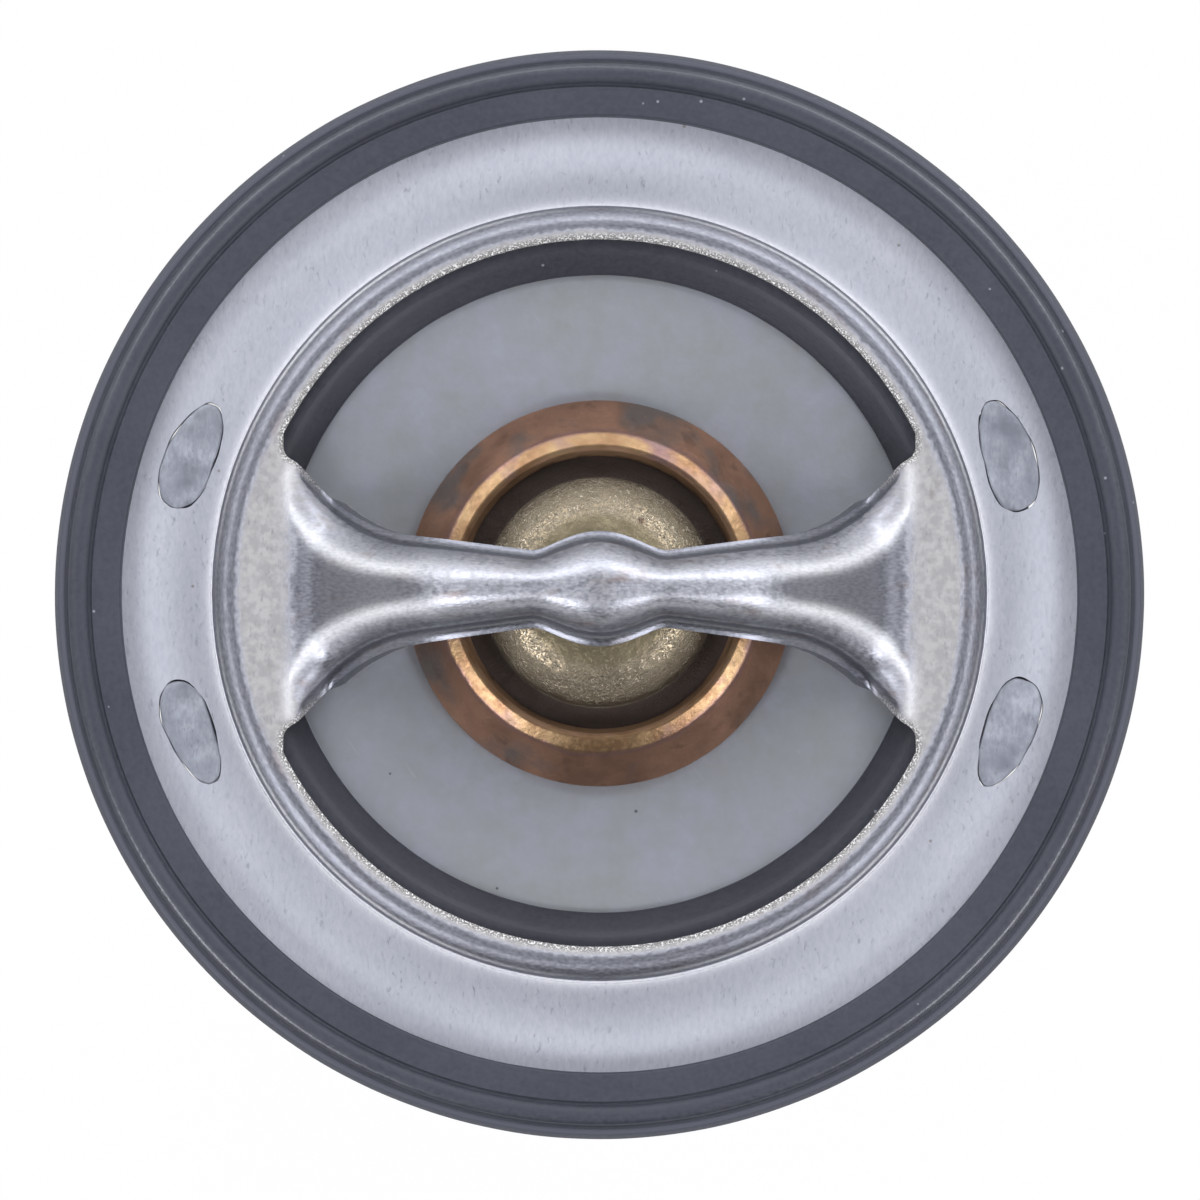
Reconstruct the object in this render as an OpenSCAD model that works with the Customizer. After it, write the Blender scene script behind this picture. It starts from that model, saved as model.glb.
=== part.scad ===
// Engine thermostat insert: a pressed flange with a bow-tie bridge, a rubber rim gasket,
// a sprung valve plate on a wax element, and a bypass plate on the element's lower stud.
// Millimetres. The origin is the middle of the rim's sheet, and +Z points up to the bridge.

/* [Flange] */
// Thickness of the pressed sheet
sheet = 1.0; // [0.8:0.05:1.2]
// Outer radius of the collar's wall
wall_r = 24.2; // [23.6:0.1:24.8]
// Height of the collar above the flange's upper face
collar_h = 3.7; // [3.4:0.1:4.4]
// Outer radius of the collar's rounded shoulder
shoulder_r = 1.4; // [1.2:0.1:1.6]
// Width of the flat seat between the shoulder and the opening
seat_w = 0.8; // [0.7:0.1:1.0]
// Width of the flat flange between the collar's wall and the gasket
flange_w = 5.65; // [5.2:0.05:6.4]
// Radius of the concave bend at the collar's foot
root_r = 0.4; // [0.3:0.1:0.7]

/* [Bridge] */
// Rise of the bridge's crown above the collar's top
bridge_h = 9.8; // [8:0.1:12]
// Distance from the opening's edge back to the bend line at each foot
foot_back = 3.25; // [3:0.05:3.6]
// Half width of the bridge at its narrow waist
waist_half = 2.35; // [2.1:0.05:2.7]
// Half width that the straight taper reaches at the foot
leg_half = 4.0; // [3.6:0.1:4.4]
// Further half width that the foot's flare adds
flare_half = 4.4; // [4:0.1:4.8]
// Radius of the round boss over the piston
boss_r = 3.6; // [3.4:0.05:4]
// Height of the boss above the crown
boss_rise = 0.4; // [0.2:0.1:0.8]
// Depth of the turned-down skirts
skirt_h = 2.7; // [2.3:0.1:3.2]
// Width by which the skirts' sheared lips flare out
lip_w = 0.45; // [0.3:0.05:0.6]
// Half width of the flat triangle at each foot
flat_half = 3.4; // [3:0.1:3.8]
// Radius of the windows' rounded corners
notch_r = 0.9; // [0.7:0.05:1.1]

/* [Gasket] */
// Radial width of the gasket
gasket_band = 4.15; // [3.9:0.05:4.5]
// Rubber outside the flange's rim
gasket_cover = 2.0; // [1.8:0.1:2.3]
// Half height of the gasket at its flat faces
gasket_half = 2.0; // [1.8:0.1:2.4]
// Distance from the outer edge to the middle of the bead
bead_in = 1.5; // [1.4:0.05:1.6]
// Width of the bead
bead_w = 1.2; // [1.1:0.05:1.3]
// Height of the bead above the flat face
bead_h = 0.5; // [0.3:0.05:0.7]
// Width of the grooves beside the bead
groove_w = 0.25; // [0.2:0.05:0.3]
// Depth of those grooves
groove_d = 0.3; // [0.2:0.05:0.4]

/* [Yoke] */
// Thickness of the yoke's sheet
yoke_t = 1.2; // [1:0.1:1.5]
// Distance from the collar's wall out to the middle of the staked tabs
tab_out = 2.6; // [2.5:0.05:2.9]
// Angle of each staked tab from the bridge's line
tab_angle = 18.8; // [17:0.1:20]
// Length of a staked tab along the flange
tab_l = 7.2; // [6.4:0.1:7.6]
// Width of a staked tab across the flange
tab_w = 3.6; // [3.2:0.1:3.8]
// Height by which a staked tab stands above the flange
tab_proud = 0.1; // [0.05:0.05:0.2]
// Half width of each leg at the flange
leg_top_half = 12.4; // [12:0.1:13]
// Half width of each leg at the base
leg_base_half = 9; // [7.5:0.1:10]
// Length of the legs' upright stretch
leg_drop = 11; // [10.8:0.1:12]
// Radius of the yoke's base
base_r = 17; // [16.5:0.1:18]
// Depth of the base's upper face below the flange's middle
base_depth = 21; // [20.8:0.1:23]
// Height of the drawn neck that guides the cup
neck_h = 3; // [2.6:0.1:4]
// Radius of the bends in the middle of the yoke's sheet
bend_r = 1.8; // [1.4:0.1:2]

/* [Valve plate] */
// Thickness of the valve plate
plate_t = 1.0; // [0.8:0.05:1.1]
// Depth of the plate's upper face below the seat
plate_drop = 1.6; // [1.5:0.05:1.8]
// Radial width of the rubber seal
seal_band = 2.9; // [2.6:0.05:3.2]
// Clearance between the seal and the collar's wall
seal_gap = 0.4; // [0.35:0.05:0.5]
// Rubber below the plate
seal_under = 0.9; // [0.7:0.05:1]
// Rubber outside the plate's turned-up edge
seal_cover = 1.3; // [1.1:0.05:1.4]

/* [Wax element] */
// Outer radius of the cup's rolled rim
crimp_r = 12.05; // [11.8:0.05:12.3]
// Height of the rolled rim above the plate
crimp_h = 3.6; // [3.4:0.1:4]
// Radius of the rim's crest
crest_r = 9.6; // [9.4:0.1:9.8]
// Inner radius of the rolled rim
crimp_in_r = 8.5; // [8.3:0.05:8.6]
// Wall of the cup
cup_wall = 0.8; // [0.7:0.05:0.9]
// Outer radius of the cup's body
cup_r = 7.2; // [6.8:0.1:7.5]
// Length of the cup below the plate's upper face
cup_l = 25.6; // [24.5:0.1:27]
// Radius of the rounded lower edge of the cup
cup_round = 1.6; // [1.3:0.1:2]
// Radius of the guide's dome
dome_r = 7.0; // [6.7:0.1:7.2]
// Height of the dome above its flange
dome_h = 4.9; // [4.4:0.1:5.4]
// Radius of the dome's flatter top
dome_flat_r = 4.7; // [4.4:0.1:4.9]
// Thickness of the guide's flange
guide_flange = 0.7; // [0.6:0.05:0.8]
// Thickness of the boot's flange
boot_flange = 0.5; // [0.4:0.05:0.6]
// Wall of the rubber boot
boot_wall = 1.3; // [1:0.1:1.5]
// Radius of the piston
piston_r = 2.0; // [1.8:0.05:2.1]
// Length of the piston inside the element
piston_in = 22; // [20:0.5:23]
// Depth of the piston's socket below the crown
socket_d = 1.4; // [1.2:0.1:1.6]

/* [Main spring] */
// Radius of the spring's wire
wire_r = 1.0; // [0.8:0.05:1.05]
// Mean radius of the spring
coil_r = 13.2; // [12.8:0.1:13.6]
// Number of turns
coil_turns = 5.5; // [4.5:0.5:5.5]

/* [Bypass] */
// Radius of the bypass plate
bypass_r = 16; // [15:0.5:18]
// Thickness of the bypass plate
bypass_t = 1.2; // [1:0.1:1.4]
// Depth of the plate's dish
dish_h = 3.5; // [3.4:0.1:4]
// Radius of the bypass plate's flat hub
hub_r = 6.0; // [5.8:0.1:6.5]
// Radius of the stud
stem_r = 2.5; // [2.3:0.1:2.7]
// Radius of the stud's shoulder
collar_r = 5.6; // [5.5:0.1:6]
// Thickness of the stud's shoulder
collar_t = 1.0; // [0.8:0.1:1.3]
// Height of the light spring
light_h = 11.8; // [11.5:0.1:13]
// Radius of the light spring's wire
light_wire_r = 0.5; // [0.4:0.05:0.55]
// Mean radius of the light spring
light_coil_r = 4.6; // [4.4:0.1:4.8]
// Number of turns of the light spring
light_turns = 5; // [4:0.5:5.5]
// Outer radius of the plain washer
washer_r = 5.0; // [4.6:0.1:5.4]
// Thickness of the plain washer
washer_t = 0.6; // [0.5:0.05:0.8]
// Outer radius of the circlip
clip_r = 3.9; // [3.7:0.1:4.2]
// Thickness of the circlip
clip_t = 0.8; // [0.6:0.05:0.9]
// Depth of the circlip's groove
clip_groove = 0.5; // [0.4:0.05:0.6]
// Stud left below the circlip
stem_tip = 0.9; // [0.7:0.1:1]

/* [Fits] */
// Running clearance of a sliding fit
slide_gap = 0.04; // [0.02:0.01:0.08]
// Clearance round the cup in the yoke's neck
neck_gap = 0.3; // [0.25:0.05:0.35]
// Clearance between pieces that are held together
hold_gap = 0.03; // [0.02:0.01:0.05]
// Clearance of the bypass plate and its washer on the stud
hub_gap = 0.12; // [0.08:0.01:0.2]

/* [Hidden] */
$fn = 128;
overrun = sheet;

// Heights of the pressed sheet
face_z = sheet / 2;
top_z = face_z + collar_h;
seat_z = top_z - sheet;

// Radii of the collar and the gasket
gasket_in_r = wall_r + flange_w;
gasket_r = gasket_in_r + gasket_band;
rim_r = gasket_r - gasket_cover;
opening_r = wall_r - shoulder_r - seat_w;
bore_r = wall_r - sheet;

// Bridge: places along its length and the shares that shape it
foot_x = opening_r - foot_back;
crown_x_share = 0.22;
crown_x = foot_x * crown_x_share;
knee_x_share = 0.61;
knee_x = foot_x * knee_x_share;
knee_reach_share = 0.13;
knee_reach = foot_x * knee_reach_share;
toe_reach_share = 0.9;
toe_reach = sheet * toe_reach_share;
toe_x = foot_x - toe_reach / 2;
crown_slope_share = 0.2;
leg_slope_share = (bridge_h - crown_slope_share * (knee_x - crown_x)) / (toe_x - knee_x);
taper_x_share = 0.21;
taper_x = foot_x * taper_x_share;
flare_x_share = 0.7;
flare_x = foot_x * flare_x_share;
flare_end_share = 1.077;
flare_end = foot_x * flare_end_share;
flat_x_share = 0.5;
flat_x = foot_x * flat_x_share;
flat_power = 1.5;
boss_blend = 4;
lip_power = 6;
waist_flat_share = 0.14;
boss_flat_share = 0.2;
bridge_lap_share = 0.15;
bridge_lap = sheet * bridge_lap_share;
lap_step_share = 0.333;
bridge_tuck_share = 0.1;
bridge_tuck = sheet * bridge_tuck_share;
slab_x = foot_x - bridge_lap;
notch_x = foot_x + toe_reach / 2;
notch_turn = 30;
notch_steps = 5;
loft_steps = 30;
skin_steps = 8;
probe_share = 0.0005;
probe = foot_x * probe_share;
socket_wall_share = 0.8;
socket_wall = sheet * socket_wall_share;
socket_z = top_z + bridge_h + boss_rise - socket_d;
socket_depth_share = 1.6;
socket_depth = sheet * socket_depth_share;

// Gasket places, from the outer edge inwards
bead_r = gasket_r - bead_in;
edge_round_share = 0.28;
edge_round = gasket_half * edge_round_share;

// Yoke
tab_r = wall_r + tab_out;
tab_arc_r = (tab_l * tab_l + tab_w * tab_w) / (4 * tab_w);
leg_flare_share = (leg_top_half - leg_base_half) / (tab_r - base_r);
tab_stem_share = 0.5;
tab_stem_angle = 2 * asin(tab_l * tab_stem_share / 2 / tab_r);
base_z = -base_depth;
bend_steps = 4;

// Valve plate and seal
plate_z = seat_z - plate_drop;
plate_under = plate_z - plate_t;
seal_r = bore_r - seal_gap;
seal_in_r = seal_r - seal_band;
plate_r = seal_r - seal_cover;
edge_up_share = 0.5;
edge_up = plate_drop * edge_up_share;
seal_slope_share = 0.667;
seal_chamfer = seal_gap;

// Wax element
cup_floor = plate_z - cup_l;
boot_z = plate_z + cup_wall;
guide_z = boot_z + boot_flange;
groove_z = guide_z + guide_flange;
crest_z = plate_z + crimp_h;
pack_r = crimp_r - cup_wall - hold_gap;
piston_low = plate_z - piston_in;
boot_r = piston_r + slide_gap + boot_wall;
boot_low = piston_low - boot_wall;
piston_tip_share = 0.5;
piston_cone_share = 1.6;
piston_cone = piston_r * piston_cone_share;
piston_chamfer_share = 0.2;
neck_r = cup_r + neck_gap;

// Bypass
stem_top = cup_floor;
shoulder_z = stem_top - collar_t;
hub_z = shoulder_z - light_h;
washer_z = hub_z - bypass_t;
clip_z = washer_z - washer_t;
stem_low = clip_z - clip_t - stem_tip;
dish_z = washer_z - dish_h;
dish_r = hub_r + dish_h;
hub_hole = stem_r + hub_gap;
stem_chamfer_share = 0.333;
clip_gap = 60;

// Springs
spring_sides = 10;
spring_rings = 24;
light_sides = 8;
light_rings = 18;
dead_turns = 1;
dead_pitch_share = 2.06;
blend_turns = 0.25;

// Smooth step from 0 to 1
function smooth_step(t) = let (c = min(1, max(0, t))) c * c * (3 - 2 * c);

// Distance run past the place c, with the start rounded over a reach r on each side
function ramp(x, c, r) =
    x <= c - r ? 0 :
    x >= c + r ? x - c :
    let (t = (x - c + r) / (2 * r)) 2 * r * (pow(t, 3) - pow(t, 4) / 2);

// Points of an arc about c, from angle a0 to a1 in n steps
function arc(c, r, a0, a1, n) =
    [for (i = [0:n]) let (a = a0 + (a1 - a0) * i / n) [c[0] + r * cos(a), c[1] + r * sin(a)]];

function mirrored(points) = [for (i = [len(points) - 1:-1:0]) [points[i][0], -points[i][1]]];

// Triangles round a tube of rings with the same number of sides
function tube_faces(rings, sides) = [
    for (i = [0:rings - 2], j = [0:sides - 1], k = [0, 1])
        let (
            a = i * sides + j,
            b = i * sides + (j + 1) % sides,
            c = b + sides,
            d = a + sides
        )
        k == 0 ? [a, b, c] : [a, c, d]
];

// Height of the bridge's crown at the distance x from the middle
function boss_share(x) = pow(max(0, 1 - x * x / (boss_r * boss_r)), 2);
function crown_z(x) =
    top_z + bridge_h
    + boss_rise * boss_share(x)
    - crown_slope_share * ramp(x, crown_x, crown_x)
    - (leg_slope_share - crown_slope_share) * ramp(x, knee_x, knee_reach)
    + leg_slope_share * ramp(x, toe_x, toe_reach);

// Half width of the bridge: the boss runs into the waist, which widens to the flared foot
function boss_half(x) =
    pow(pow(max(0, boss_r * boss_r - x * x), boss_blend / 2) + pow(waist_half, boss_blend), 1 / boss_blend);
function bridge_half(x) =
    boss_half(x)
    + (leg_half - waist_half) * max(0, x - taper_x) / (foot_x - taper_x)
    + flare_half * smooth_step((x - flare_x) / (flare_end - flare_x));

// The skirts deepen as the bridge rises from the collar's top
function skirt_depth(x) = skirt_h * (1 - exp(-max(0, crown_z(x) - top_z) / skirt_h));

// Half width of the bridge's flat top
function flat_top(x) =
    waist_half * (waist_flat_share + boss_flat_share * boss_share(x))
    + flat_half * pow(max(0, (x - flat_x) / (foot_x - flat_x)), flat_power);

// How far the loft's end has sunk into the collar's top plate
function tuck(x) = bridge_tuck * max(0, (x - slab_x) / (notch_x - slab_x));

// Point of the outer skin at x, on side s, with u running from 0 at the flat to 1 at the lip
function skin(x, s, u) =
    let (ax = abs(x), flat = flat_top(ax), half = bridge_half(ax) - lip_w - tuck(ax))
    [
        x,
        s * (flat + (half - flat) * sin(90 * u) + lip_w * pow(abs(u), lip_power)),
        crown_z(ax) - tuck(ax) - skirt_depth(ax) * (1 - cos(90 * u))
    ];

// The same point on the inner skin, one thickness of sheet inside
function inner_skin(x, s, u) =
    let (
        du = 1 / (skin_steps * skin_steps),
        along = skin(x + probe, s, u) - skin(x - probe, s, u),
        across = s * (skin(x, s, u + du) - skin(x, s, u - du)),
        n = cross(along, across)
    )
    skin(x, s, u) - n * ((sheet - 2 * tuck(abs(x))) / norm(n));

module bridge_loft() {
    places = [for (i = [-loft_steps:loft_steps]) notch_x * i / loft_steps];
    m = 2 * (skin_steps + 1);
    points = [
        for (x = places) each concat(
            [for (j = [skin_steps:-1:0]) skin(x, -1, j / skin_steps)],
            [for (j = [0:skin_steps]) skin(x, 1, j / skin_steps)],
            [for (j = [skin_steps:-1:0]) inner_skin(x, 1, j / skin_steps)],
            [for (j = [0:skin_steps]) inner_skin(x, -1, j / skin_steps)]
        )
    ];
    last = len(points) - 2 * m;
    ends = [
        for (j = [0:m - 2], k = [0, 1])
            k == 0 ? [j, 2 * m - 2 - j, j + 1] : [j, 2 * m - 1 - j, 2 * m - 2 - j]
    ];
    far_ends = [for (f = ends) [last + f[0], last + f[2], last + f[1]]];
    polyhedron(points, concat(tube_faces(len(places), 2 * m), ends, far_ends));
}

// Section of the flange and collar, with the top plate still whole
module flange_section() {
    difference() {
        union() {
            translate([bore_r, -face_z])
                square([rim_r - bore_r, sheet]);
            translate([bore_r, -face_z])
                square([sheet, top_z + face_z - shoulder_r]);
            translate([0, seat_z])
                square([wall_r - shoulder_r, sheet]);
            translate([wall_r - shoulder_r, top_z - shoulder_r])
                intersection() {
                    difference() {
                        circle(r = shoulder_r);
                        circle(r = shoulder_r - sheet);
                    }
                    square(shoulder_r);
                }
            translate([wall_r, face_z])
                difference() {
                    square(root_r);
                    translate([root_r, root_r])
                        circle(r = root_r);
                }
        }
        translate([bore_r, -face_z])
            difference() {
                translate([-overrun, -overrun])
                    square(overrun + root_r + sheet);
                translate([root_r + sheet, root_r + sheet])
                    circle(r = root_r + sheet);
                translate([-overrun, root_r + sheet])
                    square(overrun + root_r + sheet);
            }
    }
}

// Half outline of the plate that is left between the windows, at the foot on the +X side
function foot_outline() =
    let (
        edge_y = bridge_half(notch_x),
        centre = [notch_x - notch_r * sin(notch_turn), edge_y + notch_r * cos(notch_turn)]
    )
    concat(
        [[slab_x, bridge_half(slab_x) + bridge_lap * lap_step_share]],
        [for (i = [1:3]) let (x = slab_x + (notch_x - slab_x) * i / 4) [x, bridge_half(x)]],
        arc(centre, notch_r, notch_turn - 90, 0, notch_steps),
        [
            [centre[0] + notch_r, opening_r],
            [opening_r + overrun, opening_r]
        ]
    );

module window_cut() {
    outline = foot_outline();
    difference() {
        circle(r = opening_r);
        for (side = [0, 180])
            rotate(side)
                polygon(concat(outline, mirrored(outline)));
    }
}

// Lens of two arcs, long in Y
module tab_lens(shrink) {
    shift = tab_arc_r - tab_w / 2;
    intersection() {
        translate([-shift, 0])
            circle(r = tab_arc_r - shrink);
        translate([shift, 0])
            circle(r = tab_arc_r - shrink);
    }
}

module at_tabs() {
    for (side = [0, 180], s = [-1, 1])
        rotate(side + s * tab_angle)
            translate([tab_r, 0])
                children();
}

module flange_bridge() {
    color("lightsteelblue")
        difference() {
            union() {
                difference() {
                    rotate_extrude()
                        flange_section();
                    translate([0, 0, seat_z - overrun])
                        linear_extrude(sheet + 2 * overrun)
                            window_cut();
                }
                bridge_loft();
                translate([0, 0, socket_z - socket_depth])
                    cylinder(r = piston_r + socket_wall, h = socket_depth + socket_d / 2);
            }
            translate([0, 0, socket_z - socket_depth - overrun])
                cylinder(r = piston_r + slide_gap, h = socket_depth + overrun);
            translate([0, 0, -face_z - overrun])
                linear_extrude(sheet + 2 * overrun)
                    at_tabs()
                        tab_lens(0);
        }
}

// Upper half of the gasket's section, from the bore out to the outer edge
function gasket_edge() = concat(
    [
        [gasket_in_r, 0],
        [gasket_in_r, gasket_half - groove_w],
        [gasket_in_r + groove_w, gasket_half],
        [bead_r - bead_w / 2 - groove_w, gasket_half],
        [bead_r - bead_w / 2 - groove_w / 2, gasket_half - groove_d],
        [bead_r - bead_w / 2, gasket_half - groove_d]
    ],
    [
        for (i = [0:6])
            let (a = 180 - 30 * i)
            [bead_r + bead_w / 2 * cos(a), gasket_half + bead_h * sin(a)]
    ],
    [
        [bead_r + bead_w / 2, gasket_half - groove_d],
        [bead_r + bead_w / 2 + groove_w / 2, gasket_half - groove_d],
        [bead_r + bead_w / 2 + groove_w, gasket_half]
    ],
    arc([gasket_r - edge_round, gasket_half - edge_round], edge_round, 90, 0, 5),
    [[gasket_r, 0]]
);

module rim_gasket() {
    edge = gasket_edge();
    color("darkslategray")
        rotate_extrude()
            difference() {
                polygon(concat(edge, mirrored(edge)));
                translate([0, -face_z])
                    square([rim_r + hold_gap, sheet]);
            }
}

function unit(v) = v / norm(v);
function reversed(points) = [for (i = [len(points) - 1:-1:0]) points[i]];

// Points of the round bend that replaces the corner b of the line a, b, c
function bend(a, b, c) =
    let (
        d0 = unit(b - a),
        d1 = unit(c - b),
        turn = acos(d0 * d1),
        side = sign(d0[0] * d1[1] - d0[1] * d1[0]),
        start = b - d0 * bend_r * tan(turn / 2),
        centre = start + side * bend_r * [-d0[1], d0[0]],
        from = atan2(start[1] - centre[1], start[0] - centre[0])
    )
    arc(centre, bend_r, from, from + side * turn, bend_steps);

// The line moved sideways by the distance d, with mitred corners
function beside(line, d) = [
    for (i = [0:len(line) - 1])
        let (
            before = unit(line[max(i, 1)] - line[max(i, 1) - 1]),
            after = unit(line[min(i, len(line) - 2) + 1] - line[min(i, len(line) - 2)]),
            along = unit(before + after)
        )
        line[i] + d / (along * after) * [-along[1], along[0]]
];

// Section of the yoke's bowl along the middle of its sheet: rim, wall, flat base and neck
module yoke_section() {
    mid_z = base_z - yoke_t / 2;
    knee = [tab_r, -leg_drop];
    heel = [base_r + bend_r, mid_z];
    neck = [neck_r + yoke_t / 2, mid_z];
    line = concat(
        [[tab_r, -face_z]],
        bend([tab_r, -face_z], knee, heel),
        bend(knee, heel, neck),
        bend(heel, neck, [neck[0], base_z + neck_h]),
        [[neck[0], base_z + neck_h]]
    );
    polygon(concat(beside(line, yoke_t / 2), reversed(beside(line, -yoke_t / 2))));
}

// What is cut from the bowl so that only the round base and the two legs stay
module yoke_cut() {
    far = tab_r + yoke_t + overrun;
    difference() {
        circle(r = far);
        circle(r = base_r);
        for (side = [0, 180])
            rotate(side)
                polygon([
                    [0, leg_base_half - base_r * leg_flare_share],
                    [far, leg_base_half + (far - base_r) * leg_flare_share],
                    [far, -leg_base_half - (far - base_r) * leg_flare_share],
                    [0, -leg_base_half + base_r * leg_flare_share]
                ]);
    }
}

module lower_yoke() {
    color("gainsboro")
        union() {
            difference() {
                rotate_extrude()
                    yoke_section();
                translate([0, 0, base_z - yoke_t - overrun])
                    linear_extrude(base_depth + yoke_t + 2 * overrun)
                        yoke_cut();
            }
            for (side = [0, 180], s = [-1, 1])
                rotate([0, 0, side + s * tab_angle - tab_stem_angle / 2])
                    rotate_extrude(angle = tab_stem_angle)
                        translate([tab_r - yoke_t / 2 + hold_gap, -face_z - yoke_t])
                            square([yoke_t - 2 * hold_gap, sheet + yoke_t]);
            translate([0, 0, -face_z])
                linear_extrude(sheet + tab_proud)
                    at_tabs()
                        tab_lens(hold_gap);
        }
}

module plate_section() {
    translate([cup_r + hold_gap, plate_under])
        square([plate_r - cup_r - hold_gap, plate_t]);
    translate([plate_r - plate_t, plate_under])
        square([plate_t, plate_t + edge_up]);
}

module valve_plate() {
    color("darkgray")
        rotate_extrude()
            plate_section();
}

module valve_seal() {
    under_z = plate_under - seal_under;
    color("dimgray")
        rotate_extrude()
            difference() {
                polygon([
                    [seal_in_r, plate_z],
                    [seal_in_r + plate_drop * seal_slope_share, seat_z],
                    [seal_r - seal_chamfer, seat_z],
                    [seal_r, seat_z - seal_chamfer],
                    [seal_r, under_z + seal_chamfer],
                    [seal_r - seal_chamfer, under_z],
                    [seal_in_r + seal_chamfer, under_z],
                    [seal_in_r, plate_under]
                ]);
                plate_section();
            }
}

// Outer line of the rolled rim, from the plate up over the crest to the inner edge
function crimp_line() =
    let (r = (crest_r - crimp_in_r), side_h = cup_wall)
    concat(
        [[crimp_r, plate_z], [crimp_r, plate_z + side_h]],
        arc([crest_r, crest_z - r], r, 45, 180, 7)
    );

module element_cup() {
    floor_z = cup_floor;
    in_r = cup_r - cup_wall;
    color("peru")
        rotate_extrude()
            difference() {
                polygon(concat(
                    [[0, floor_z]],
                    arc([cup_r - cup_round, floor_z + cup_round], cup_round, -90, 0, 6),
                    [[cup_r, plate_z]],
                    crimp_line(),
                    [
                        [crimp_in_r, groove_z],
                        [0, groove_z]
                    ]
                ));
                polygon(concat(
                    [[0, floor_z + cup_wall]],
                    arc(
                        [cup_r - cup_round, floor_z + cup_round],
                        cup_round - cup_wall, -90, 0, 6
                    ),
                    [
                        [in_r, boot_z],
                        [pack_r + hold_gap, boot_z],
                        [pack_r + hold_gap, guide_z],
                        [crest_r + hold_gap, crest_z - cup_wall],
                        [crimp_in_r + cup_wall, crest_z - cup_wall],
                        [crimp_in_r + cup_wall, groove_z],
                        [0, groove_z + overrun]
                    ]
                ));
            }
}

module wax_charge() {
    floor_z = cup_floor + cup_wall;
    in_r = cup_r - cup_wall - hold_gap;
    round_r = cup_round - cup_wall;
    color("khaki")
        rotate_extrude()
            polygon(concat(
                [[0, floor_z]],
                arc([in_r - round_r, floor_z + round_r], round_r, -90, 0, 4),
                [
                    [in_r, boot_z],
                    [boot_r + hold_gap, boot_z],
                    [boot_r + hold_gap, boot_low - hold_gap],
                    [0, boot_low - hold_gap]
                ]
            ));
}

// Outline of the piston from its tip up to the height z, widened by grow
function piston_line(grow, z) = [
    [0, piston_low - grow],
    [piston_r * piston_tip_share + grow, piston_low - grow],
    [piston_r + grow, piston_low + piston_cone],
    [piston_r + grow, z]
];

module rubber_boot() {
    color("black")
        rotate_extrude()
            difference() {
                union() {
                    translate([0, boot_low])
                        square([boot_r, boot_z - boot_low]);
                    translate([0, boot_z])
                        square([pack_r, boot_flange]);
                }
                polygon(concat(
                    piston_line(slide_gap, guide_z + overrun),
                    [[0, guide_z + overrun]]
                ));
            }
}

module guide() {
    bore = piston_r + slide_gap;
    round_r = dome_r - dome_flat_r;
    crown_h = groove_z + dome_h;
    shoulder = crown_h - guide_flange;
    color("burlywood")
        rotate_extrude()
            polygon(concat(
                [
                    [bore, guide_z],
                    [pack_r, guide_z],
                    [crest_r, crest_z - cup_wall - hold_gap],
                    [crimp_in_r + cup_wall + hold_gap, crest_z - cup_wall - hold_gap],
                    [crimp_in_r + cup_wall + hold_gap, groove_z]
                ],
                [[dome_r, groove_z]],
                arc([dome_flat_r, shoulder - round_r], round_r, 0, 80, 6),
                [
                    [bore + guide_flange, crown_h],
                    [bore, crown_h - guide_flange]
                ]
            ));
}

module piston() {
    tip = piston_r * piston_chamfer_share;
    color("silver")
        rotate_extrude()
            polygon(concat(
                piston_line(0, socket_z - tip),
                [
                    [piston_r - tip, socket_z],
                    [0, socket_z]
                ]
            ));
}

// Coil spring with closed ends that stand on z0 and z1
module coil(wire, mean, z0, z1, turns, rings, sides) {
    count = round(turns * rings);
    dead_pitch = wire * dead_pitch_share;
    extra = (z1 - z0 - 2 * wire - dead_pitch * turns) / (turns - 2 * dead_turns);
    points = [
        for (i = [0:count], j = [0:sides - 1])
            let (
                t = turns * i / count,
                a = 360 * j / sides,
                r = mean + wire * cos(a),
                mid = z0 + wire + dead_pitch * t + extra
                    * (ramp(t, dead_turns, blend_turns) - ramp(t, turns - dead_turns, blend_turns))
            )
            [r * cos(360 * t), r * sin(360 * t), mid + wire * sin(a)]
    ];
    ends = [
        [for (j = [0:sides - 1]) sides - 1 - j],
        [for (j = [0:sides - 1]) count * sides + j]
    ];
    polyhedron(points, concat(tube_faces(count + 1, sides), ends));
}

module main_spring() {
    color("slategray")
        coil(wire_r, coil_r, base_z, plate_under, coil_turns, spring_rings, spring_sides);
}

module bypass_stem() {
    groove = stem_r - clip_groove;
    chamfer = stem_tip * stem_chamfer_share;
    color("goldenrod")
        rotate_extrude()
            polygon([
                [0, stem_top],
                [collar_r, stem_top],
                [collar_r, shoulder_z],
                [stem_r, shoulder_z],
                [stem_r, clip_z],
                [groove, clip_z],
                [groove, clip_z - clip_t],
                [stem_r, clip_z - clip_t],
                [stem_r, stem_low + chamfer],
                [stem_r - chamfer, stem_low],
                [0, stem_low]
            ]);
}

module bypass_spring() {
    color("lightslategray")
        coil(light_wire_r, light_coil_r, hub_z, shoulder_z, light_turns, light_rings, light_sides);
}

module bypass_plate() {
    color("silver")
        rotate_extrude()
            polygon([
                [hub_hole, washer_z],
                [hub_r, washer_z],
                [dish_r, dish_z],
                [bypass_r, dish_z],
                [bypass_r, dish_z + bypass_t],
                [dish_r + bypass_t / 2, dish_z + bypass_t],
                [hub_r + bypass_t / 2, hub_z],
                [hub_hole, hub_z]
            ]);
}

module bypass_washer() {
    color("gainsboro")
        translate([0, 0, clip_z])
            difference() {
                cylinder(r = washer_r, h = washer_t);
                translate([0, 0, -overrun])
                    cylinder(r = hub_hole, h = washer_t + 2 * overrun);
            }
}

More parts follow.
